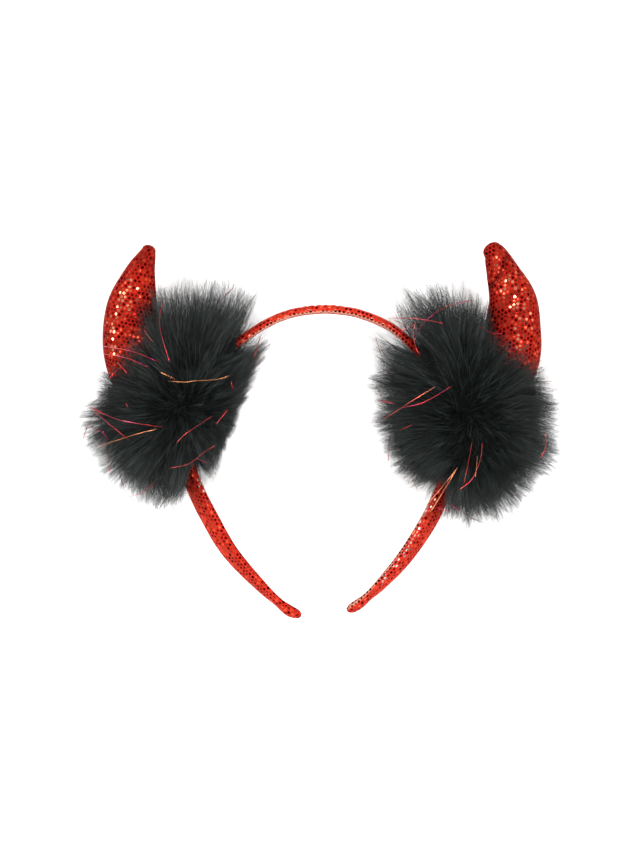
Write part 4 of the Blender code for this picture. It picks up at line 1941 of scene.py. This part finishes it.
class TinselTree(NodeGroup):
    """Slim strips of film along curves, which twist as they run and narrow at both ends."""

    inputs = {"Spacing": "Float", "Width": "Float", "Twist": "Float", "Film": "Material"}
    thick = 0.5
    end_share = 0.06
    end_width = 0.4
    curl_scale = 120
    curl_turn = 9.0

    def __init__(self) -> None:
        """Write the tree."""
        super().__init__("tinsel_strip", self.inputs)
        graph = self.graph
        glint = graph.node("GeometryNodeInputRadius", {}, {})
        curves = self.store(self.given("Geometry"), "glint", glint, "FLOAT")
        spaced = {"Curve": curves, "Length": self.given("Spacing")}
        curves = graph.node("GeometryNodeResampleCurve", {"mode": "LENGTH"}, spaced)
        run = graph.node("GeometryNodeSplineParameter", {}, {}, "Length")
        share = graph.node("GeometryNodeSplineParameter", {}, {}, "Factor")
        curves = self.store(curves, "along", share, "FLOAT")
        full = share.ramp(0.0, self.end_share) * share.ramp(1.0, 1 - self.end_share)
        narrow = full * (1 - self.end_width) + self.end_width
        curl = graph.noise(graph.node("GeometryNodeInputPosition", {}, {}), self.curl_scale, 1)
        turn = run * self.given("Twist") + curl * self.curl_turn
        strips = self.ribbon(curves, self.given("Width") * narrow, turn, self.thick)
        glints, places = self.stored("glint", "FLOAT"), self.stored("along", "FLOAT")
        self.hand_over(self.clothe(strips, glints, places, self.given("Film")))


@dataclass
class Tinsel:
    """Thin metallic strands that run through a puff: those that show in plan, and more all round."""

    puff: FurPuff
    horn: Horn
    film: TinselFoil
    width: float = 0.00016
    twist: float = 60.0
    spacing: float = 0.0006
    extra: int = 26
    lift: float = 0.0020
    fluff: float = 1.15
    camera_height: float = 1.376
    sines: tuple = (-0.95, 0.30)
    highest_sine: float = 0.35
    swing: float = 0.7
    climb: float = 0.4
    root_share: float = 0.72
    lowest: float = 0.0010
    glints: tuple = (0.1, 0.6)
    stretches: int = 3
    smooth_steps: int = 6

    def on_fur(self, pixel_x: float, pixel_y: float) -> Vector:
        """Where a point of the photograph lies on the fur's top, or just over the band beyond it.

        Args:
            pixel_x: Across the photograph.
            pixel_y: Down the photograph.

        Returns:
            The place.
        """
        x = (pixel_x - PHOTO_ORIGIN_X) * METRES_PER_PIXEL
        y = (PHOTO_ORIGIN_Y - pixel_y) * METRES_PER_PIXEL
        over_fur = self.puff.height_at(x, y, self.fluff) - BAND_LEVEL
        rise = max(over_fur, self.horn.height_at(x, y)) + self.lift
        nearer = 1 - rise / self.camera_height
        return Vector((x * nearer, y * nearer, BAND_LEVEL + rise))

    def paths(self) -> list[tuple[float, list[Vector]]]:
        """The strands that show in plan, and the ones round the sides and the back.

        Returns:
            Every strand's glint and points.
        """
        shape = self.puff.shape
        found = [(row.glint, [self.on_fur(*point) for point in row.points]) for row in shape.tinsel]
        chance = random.Random(shape.tinsel_seed)
        for _ in range(self.extra):
            turn, rise = chance.uniform(0, math.tau), math.asin(chance.uniform(*self.sines))
            swing, climb = (chance.uniform(-most, most) for most in (self.swing, self.climb))
            path = []
            for step in range(self.stretches + 1):
                share = step / self.stretches
                here, up = turn + swing * share, min(rise + climb * share, math.asin(self.highest_sine))
                way = Vector((math.cos(up) * math.cos(here), math.cos(up) * math.sin(here), math.sin(up)))
                deep = self.root_share + (1 - self.root_share) * share
                at = self.puff.middle + way * self.puff.radius(way) * deep
                at.z = max(at.z, self.lowest)
                path.append(at)
            found.append((chance.uniform(*self.glints), path))
        return found

    def build(self) -> bpy.types.Object:
        """Make all the strands of one puff.

        Returns:
            The finished piece.
        """
        name = f"tinsel_{self.puff.side.value}"
        curve = bpy.data.curves.new(name, "CURVE")
        curve.dimensions = "3D"
        for glint, path in self.paths():
            fine = smooth_rows([Spot(*point) for point in path], self.smooth_steps)
            spline = curve.splines.new("POLY")
            spline.points.add(len(fine) - 1)
            for point, at in zip(spline.points, fine):
                point.co = (*at, 1)
                point.radius = glint
        guide = bpy.data.objects.new(name + "_paths", curve)
        bpy.context.scene.collection.objects.link(guide)
        values = {
            "Spacing": self.spacing,
            "Width": self.width,
            "Twist": self.twist,
            "Film": self.film.material(name),
        }
        TinselTree.shared().attach(guide, values)
        return settle(name, guide)


@dataclass
class Studio:
    """A pale floor, soft lights on both sides, and a camera straight above, as the photograph was taken."""

    lens: float = 135.0
    sensor: float = 36.0
    floor_half: float = 12.0
    floor_colour: tuple = (0.93, 0.93, 0.925, 1)
    floor_mottle: tuple = (0.90, 0.90, 0.90, 1)
    mottle_scale: float = 14
    floor_glow: float = 0.45
    room_light: float = 0.48
    white: tuple = (1.0, 1.0, 1.0, 1)

    def build_camera(self) -> None:
        """Put the camera where the photograph's frame and scale ask for it."""
        data = bpy.data.cameras.new("camera")
        data.lens = self.lens
        data.sensor_width = self.sensor
        away = self.lens / self.sensor * PHOTO_HEIGHT * METRES_PER_PIXEL
        camera = bpy.data.objects.new("camera", data)
        camera.location = (
            (PHOTO_WIDTH / 2 - PHOTO_ORIGIN_X) * METRES_PER_PIXEL,
            (PHOTO_ORIGIN_Y - PHOTO_HEIGHT / 2) * METRES_PER_PIXEL,
            BAND_LEVEL + away,
        )
        bpy.context.scene.collection.objects.link(camera)
        bpy.context.scene.camera = camera

    def build_floor(self) -> None:
        """Lay the pale floor that the headband lies on."""
        finish = Finish("pale_floor")
        shade = finish.graph.noise(finish.position(), self.mottle_scale, 3)
        material = finish.surface(
            base_color=finish.graph.mix(shade * 0.25, self.floor_colour, self.floor_mottle, "RGBA"),
            roughness=0.85,
            specular_ior_level=0.1,
            emission_color=self.white,
            emission_strength=self.floor_glow,
        )
        shape = bmesh.new()
        bmesh.ops.create_grid(shape, x_segments=1, y_segments=1, size=self.floor_half)
        place("floor", finished_mesh("floor", shape), material)

    def build_light(self, row: LightRow) -> None:
        """Hang a soft light that faces the headband.

        Args:
            row: The light.
        """
        data = bpy.data.lights.new(row.name, "AREA")
        data.size = row.size
        data.energy = row.power
        light = bpy.data.objects.new(row.name, data)
        light.location = row.at
        light.rotation_euler = Vector(row.at).to_track_quat("Z", "Y").to_euler()
        bpy.context.scene.collection.objects.link(light)

    def build_world(self) -> None:
        """A dim even room."""
        world = bpy.data.worlds.new("room")
        world.use_nodes = True
        ground = world.node_tree.nodes["Background"]
        ground.inputs["Color"].default_value = self.white
        ground.inputs["Strength"].default_value = self.room_light
        bpy.context.scene.world = world

    def build(self) -> None:
        """Set the whole stage."""
        self.build_camera()
        self.build_floor()
        for row in LIGHTS:
            self.build_light(row)
        self.build_world()
        bpy.context.scene.view_settings.view_transform = "Standard"


def attach(piece: bpy.types.Object, slot: str, *nodes: str) -> None:
    """Let a finished piece ride on the body.

    Args:
        piece: The piece.
        slot: The record's material slot, which is not used.
        nodes: The solids that it stands for.
    """
    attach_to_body(piece, BODY)
    if nodes:
        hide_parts(*nodes)
    report_piece(piece)


def main() -> None:
    """Dress the frame and set the stage."""
    logging.basicConfig(level=logging.INFO, format="%(name)s: %(message)s")
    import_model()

    Studio().build()
    cloth, coat, film = FoilDotCloth(), FurCoat(), TinselFoil()
    # The band's cloth is a copy painted lighter than the horns', with whiter painted glints
    band = Headband(cloth.brightened())
    attach(band.build(), CLOTH_SLOT, "headband")
    for side in Side:
        horn = Horn(side, cloth)
        stuffed = horn.build(band)
        attach(stuffed, CLOTH_SLOT, f"horn_{side.value}")
        puff = FurPuff(side, coat)
        attach(puff.build_underfur(), FUR_SLOT, f"fur_puff_{side.value}")
        for layer in Coat:
            attach(puff.build_coat(layer), FUR_SLOT, f"fur_puff_{side.value}")
        attach(Tinsel(puff, horn, film).build(), TINSEL_SLOT)


if __name__ == "__main__":
    main()
